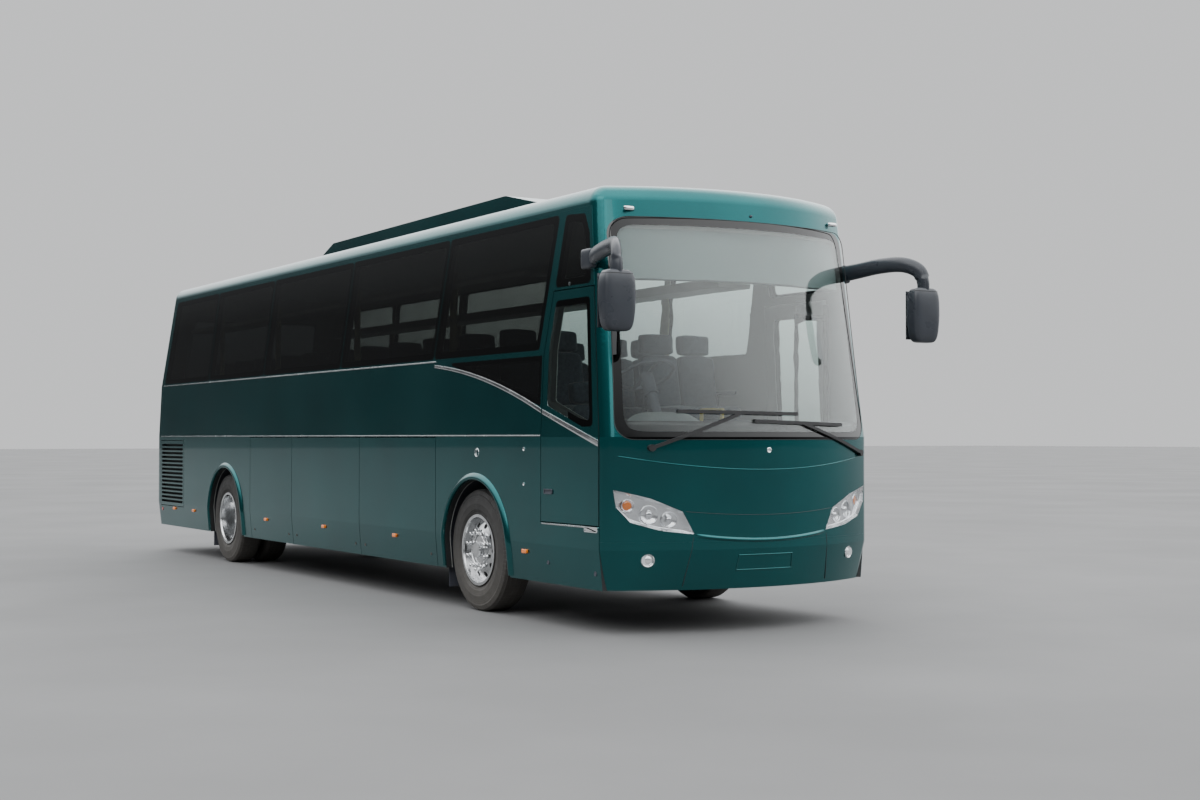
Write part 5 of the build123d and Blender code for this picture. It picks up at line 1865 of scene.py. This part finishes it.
@dataclass
class Seating:
    """Padded seats on their frames.

    Attributes:
        pitch: Distance between rows.
        first: First row, from the front axle.
        rows: Number of rows.
        middles: Middles of the two seats of a pair.
        width: Width of a seat.
        driver_width: Width of the driver's seat.
    """

    pitch: float = 0.78
    first: float = 0.25
    rows: int = 11
    middles: Flat = (0.498, 0.902)
    width: float = 0.395
    driver_width: float = 0.48

    def build(self) -> None:
        """Adds the passengers' seats and the driver's seat in place of their plain solids."""
        places = [
            Matrix.Translation((along(self.first - row * self.pitch), side * middle, DECK_Z))
            for row in range(self.rows)
            for _, side in SIDES
            for middle in self.middles
        ]
        self.pads("seat", self.width, places, "passenger_seats")
        self.frames()
        move = Matrix.Translation((along(1.02), CAB_Y, 0.86)) @ Matrix.Diagonal((1.1, 1, 1, 1))
        self.pads("driver", self.driver_width, [move], "driver_seat")
        base = Bench.block("base", (along(1.09), -0.78, 0.841), (along(1.39), -0.46, 1.12), 0.02)
        tray = Bench.block("tray", (along(1.03), -0.85, 1.12), (along(1.47), -0.39, 1.19), 0.015)
        Bench.finish(Bench.join("driver_seat_frame", [base, tray]), BLACK_PLASTIC)

    @staticmethod
    def pads(prefix: str, width: float, places: Sequence[Matrix], node: str) -> None:
        """Adds the cushions, backs and headrests of one kind of seat.

        Args:
            prefix: Start of the pads' names.
            width: Width of a seat.
            places: Where each seat stands.
            node: The plain solids that they stand for.
        """
        half = width / 2 - 0.006
        small = half * 0.86
        forms = (
            ("cushions", (0.0, -half, 0.325), (0.44, half, 0.425), (0.006, 0.002, 0.014), 0.0),
            ("backs", (-0.055, -half, 0.40), (0.055, half, 0.90), (0.012, 0.002, 0.004), 0.085),
            ("headrests", (-0.155, -small, 0.905), (-0.050, small, 1.085), (0.010, 0.002, 0.006), 0.018),
        )
        for kind, *form in forms:
            name = f"{prefix}_{kind}"
            pads = Bench.copies(name, Bench.pad(name, *form), places)
            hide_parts(node)
            Bench.finish(pads, SEAT_CLOTH)

    def frames(self) -> None:
        """Adds the legs, rails and armrests of the pairs."""
        pair = [
            Bench.block("leg", (0.07, 0.57, 0.0), (0.32, 0.61, 0.30), 0.006),
            Bench.block("rail", (0.06, 0.34, 0.29), (0.10, 1.09, 0.32), 0.004),
            Bench.block("rail", (0.29, 0.34, 0.29), (0.33, 1.09, 0.32), 0.004),
        ]
        for across in (0.288, 1.112):
            low, high = (-0.03, across - 0.012, 0.54), (0.28, across + 0.012, 0.575)
            pair.append(Bench.block("armrest", low, high, 0.008))
            pair.append(Bench.tube("post", [(0.03, across, 0.31), (-0.01, across, 0.56)], 0.010, 8))
        places = [
            Matrix.Translation((along(self.first - row * self.pitch), 0.0, DECK_Z))
            @ Matrix.Diagonal((1, side, 1, 1))
            for row in range(self.rows)
            for _, side in SIDES
        ]
        Bench.finish(Bench.copies("seat_frames", Bench.join("pair", pair), places), BLACK_PLASTIC)


@dataclass
class Hangings:
    """Gathered curtains beside the pillars, and the blind behind the windscreen.

    Attributes:
        marks: Divisions that have curtains, from the front axle.
        low: Height of the curtains' hems.
        top: Height of their rails.
        blind: Bottom and height of the blind.
        places: Places across of the points of its roller and hem.
        inside: How far the curtains hang inside of the wall's outside at their rails.
    """

    marks: tuple[float, ...] = (-7.290, -5.330, -3.050, -0.840)
    low: float = 2.205
    top: float = 2.958
    blind: Flat = (2.695, 0.390)
    places: tuple[float, ...] = (-0.8, -0.4, 0.0, 0.4, 0.8)
    inside: float = 0.0803

    def build(self) -> None:
        """Adds the curtains and the blind with its roller and hem."""
        for name, side in SIDES:
            for index, mark in enumerate(self.marks):
                self.curtain(f"curtain_{name}_{index}", along(mark) + 0.10, side)

        def hang(u: float, v: float) -> Point:
            """Places a point of the blind, a hand behind the glass."""
            y, z = (u - 0.5) * 2.12, self.blind[0] + v * self.blind[1]
            return (nose_x(y, z) - 0.075 + 0.003 * math.sin(9 * u) * (1 - v), y, z)

        cloth = Bench.skin("sun_blind", 48, 10, hang)
        Bench.finish(cloth, BLIND_CLOTH)
        points = [(nose_x(y, 3.10) - 0.086, y, 3.100) for y in (-1.07, *self.places, 1.07)]
        Bench.finish(Bench.tube("blind_roller", points, 0.022, 12), LINING)
        hem = [(nose_x(y, 2.695) - 0.075, y, 2.693) for y in (-1.06, *self.places, 1.06)]
        Bench.finish(Bench.tube("blind_hem", hem, 0.009, 8), DARK_TRIM)

    def curtain(self, name: str, rear: float, side: int) -> None:
        """Adds one gathered curtain.

        Args:
            name: The curtain's name.
            rear: Place of its rear edge.
            side: Side of the coach.
        """
        middle = half_width(2.96) - self.inside

        def fold(u: float, v: float) -> Point:
            """Places a point of the folds, tied in a little at the middle."""
            tie = 1.0 - 0.22 * math.exp(-(((v - 0.42) / 0.16) ** 2))
            x = rear + 0.075 + (u - 0.5) * 0.145 * tie
            wave = math.sin(u * 12 * math.pi + 0.5 * math.sin(3 * v)) * 0.0095
            wave *= 0.75 + 0.25 * math.cos(7 * u)
            return (x, side * (middle + wave), self.low + v * (self.top - self.low))

        cloth = Bench.skin(name, 72, 14, fold)
        Bench.finish(cloth, CURTAIN_CLOTH)


@dataclass
class Tail:
    """Lamps, reflectors, plate, latch and high stop lamp of the tail.

    Attributes:
        across: Place of the lamps across.
        lamps: Height and finish of each lamp.
        stop_z: Height of the high stop lamp.
    """

    across: float = 1.060
    lamps: tuple[tuple[float, Finish], ...] = ((1.010, BLANK_PLATE), (1.165, AMBER), (1.320, RED))
    stop_z: float = 3.16

    def build(self) -> None:
        """Adds the fittings of the tail."""
        steps = ((0.004, 0.004), (0.012, 0.006), (0.018, 0.003))
        for name, side in SIDES:
            rings = []
            for z, finish in self.lamps:
                x, y = tail_x(self.across, z) + 0.006, side * self.across
                lamp = f"tail_lamp_{name}_{round(z * 1000)}"
                Bench.finish(Bench.turned(lamp, (x, y, z), (-1.0, 0.0, 0.0), 0.058, 0.010, steps, 36), finish)
                rings.append(Bench.ring("ring", (x - 0.008, y, z), (1.0, 0.0, 0.0), 0.060, 0.006, 36))
            Bench.finish(Bench.join(f"tail_rings_{name}", rings), CHROME)
            x, y = tail_x(0.90, 0.60), side * 0.90
            low, high = (x - 0.006, y - 0.055, 0.580), (x + 0.012, y + 0.055, 0.625)
            Bench.finish(Bench.block(f"tail_reflector_{name}", low, high, 0.003), RED)
        x, half, low, top = tail_x(0.0, TUCK_Z), 0.26, 0.595, 0.705
        corners = [(x, -half, low), (x, -half, top), (x, half, top), (x, half, low)]
        plate = Bench.plate("rear_plate", corners, (-0.006, 0.0, 0.0), 0.008, (0.006, -0.001))
        Bench.finish(plate, BLANK_PLATE, "engine_door")
        latch = Bench.block("engine_latch", (x - 0.010, -0.07, 0.838), (x + 0.002, 0.07, 0.862), 0.003)
        Bench.finish(latch, BLACK_PLASTIC, "engine_door")
        x, z = tail_x(0.0, self.stop_z), self.stop_z
        low, high = (x - 0.008, -0.14, z - 0.014), (x + 0.05, 0.14, z + 0.014)
        Bench.finish(Bench.block("high_stop_lamp", low, high, 0.004), RED)


@dataclass
class Scene:
    """Stage, light and camera.

    Attributes:
        eye: Place of the photograph's camera.
        yaw: How far it is turned to the left, in degrees.
        pitch: How far it looks up, in degrees.
        focal: Its focal length over the picture's width.
        sky: Heights and colours of the dome, from below to above.
        boxes: Name, place, size and power of each soft box.
    """

    eye: Point = (16.241, -7.721, 1.489)
    yaw: float = 59.0
    pitch: float = 1.27
    focal: float = 1672.0 / 1200.0
    sky: tuple[tuple[float, Colour], ...] = (
        (0.0, (0.06, 0.06, 0.06)), (0.54, (0.062, 0.064, 0.067)), (0.575, (0.24, 0.25, 0.26)),
        (0.61, (0.85, 0.88, 0.90)), (0.66, (1.9, 1.94, 1.97)), (0.85, (3.2, 3.25, 3.3)),
    )
    boxes: tuple[tuple[str, Point, Flat, float], ...] = (
        ("key", (11.0, -17.0, 13.0), (14.0, 9.0), 640.0),
        ("top", (0.0, 0.0, 15.0), (22.0, 10.0), 500.0),
        ("front", (20.0, -11.5, 9.0), (6.0, 6.0), 250.0),
    )

    def build(self) -> None:
        """Adds the floor, the light and the camera."""
        self.floor()
        self.light()
        self.camera()

    @staticmethod
    def floor() -> None:
        """Adds a plain pale floor."""
        Bench.clear()
        bpy.ops.mesh.primitive_plane_add(size=400.0, location=(0.0, 0.0, 0.0))
        plane = Bench.settle("floor")
        finish = Finish(
            "pale_floor", (0.125, 0.125, 0.125), (0.14, 0.14, 0.14), low=0.7, high=0.9, patch=0.4, dust=0.0
        )
        plane.data.materials.append(finish.material())
        plane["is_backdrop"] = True

    def light(self) -> None:
        """Adds a bright dome over a darker horizon and the soft boxes."""
        world = bpy.data.worlds.new("studio")
        bpy.context.scene.world = world
        world.use_nodes = True
        world.node_tree.nodes.clear()
        graph = Graph(world.node_tree)
        direction = graph.node("TexCoord").outputs["Generated"]
        tilt = graph.node("VectorMath", operation="DOT_PRODUCT", _0=direction, _1=(-0.05, 0.20, 1.0))
        dome = graph.ramp(graph.plus(graph.times(tilt.outputs["Value"], 0.5), 0.5), self.sky)
        shown = graph.mix(graph.node("LightPath").outputs["Is Camera Ray"], dome, (0.80, 0.81, 0.82))
        backdrop = graph.node("Background", Color=shown, Strength=1.0)
        graph.node("OutputWorld", Surface=backdrop.outputs[0])
        for name, place, size, power in self.boxes:
            bpy.ops.object.light_add(type="AREA", location=place)
            lamp = bpy.context.object
            lamp.name = name
            lamp.data.shape = "RECTANGLE"
            lamp.data.size, lamp.data.size_y = size
            lamp.data.energy = power
            aim = Vector((1.5, 0.0, 1.5)) - Vector(place)
            lamp.rotation_euler = aim.to_track_quat("-Z", "Y").to_euler()
            lamp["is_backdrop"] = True

    def camera(self) -> None:
        """Adds the photograph's camera."""
        data = bpy.data.cameras.new("camera")
        data.sensor_width = 36.0
        data.lens = data.sensor_width * self.focal
        data.clip_end = 500.0
        camera = bpy.data.objects.new("camera", data)
        bpy.context.scene.collection.objects.link(camera)
        yaw, pitch = math.radians(self.yaw), math.radians(self.pitch)
        flat = math.cos(pitch)
        ahead = Vector((-math.sin(yaw) * flat, math.cos(yaw) * flat, math.sin(pitch)))
        camera.location = self.eye
        camera.rotation_euler = ahead.to_track_quat("-Z", "Y").to_euler()
        bpy.context.scene.camera = camera


SLOT_FINISHES = {
    "body_paint": PAINT,
    "glass": SIDE_GLASS,
    "lamp": LampGlass(),
    "tyre": TyreRubber("front_tyre_rubber", FRONT_AXLE_X),
    "rim": POLISHED,
    "cast_iron": CASTING,
    "steel": CHASSIS,
    "deck": DECK,
    "black_plastic": BLACK_PLASTIC,
    "seat_fabric": SEAT_CLOTH,
    "mirror_face": SILVERED,
}
NODE_FINISHES = {
    "windscreen": SCREEN_GLASS,
    "rear_glass": REAR_GLASS,
    "side_glass_left": LEFT_GLASS,
    "driver_door_glass": DOOR_GLASS,
    "passenger_door_glass": DOOR_GLASS,
    "wipers": WIPER,
    "mirrors": MIRROR_SHELL,
    "dashboard": DASH,
    "luggage_racks": LINING,
    "tyres_rear_right": TyreRubber("rear_tyre_rubber", REAR_AXLE_X),
    "tyres_rear_left": TyreRubber("rear_tyre_rubber", REAR_AXLE_X),
}
SIDE_PIECES = ("side_wall", "flap_", "louvre_door", "driver_door", "passenger_door")


def dress(frame: dict) -> None:
    """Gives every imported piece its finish.
    """
    slots = {part["node"]: part["material_slot"] for part in frame["record"]["subparts"]}
    for name, piece in frame["nodes"].items():
        finish = NODE_FINISHES.get(name) or SLOT_FINISHES[slots[name]]
        if finish is PAINT and name.startswith(SIDE_PIECES):
            finish = SIDE_PAINT
        for place in piece.material_slots:
            place.material = finish.material()
        LOG.info("finish %s on %s", finish.name, name)


def corners(box: tuple[Vector, Vector]) -> list[list[float]]:
    """Gives a box's corners as plain lists."""
    return [[float(value) for value in corner] for corner in box]


def main() -> None:
    """Builds the looks in order and logs each piece."""
    logging.basicConfig(level=logging.INFO, format="%(name)s: %(message)s")
    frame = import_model()
    packed = corners(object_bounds())
    dress(frame)
    Scene().build()
    assemblies = (
        Wheels(), SideLamps(), DoorFittings(), Lights(), Mirrors(), SideTrim(), Flares(), NoseLines(),
        ScreenFittings(), Cab(), Seating(), Hangings(), Tail(),
    )
    for assembly in assemblies:
        LOG.info("assembly %s", type(assembly).__name__)
        assembly.build()
    Bench.clear()
    bpy.context.view_layer.update()
    {"packed": packed, "shown": corners(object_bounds())}


if __name__ == "__main__":
    main()
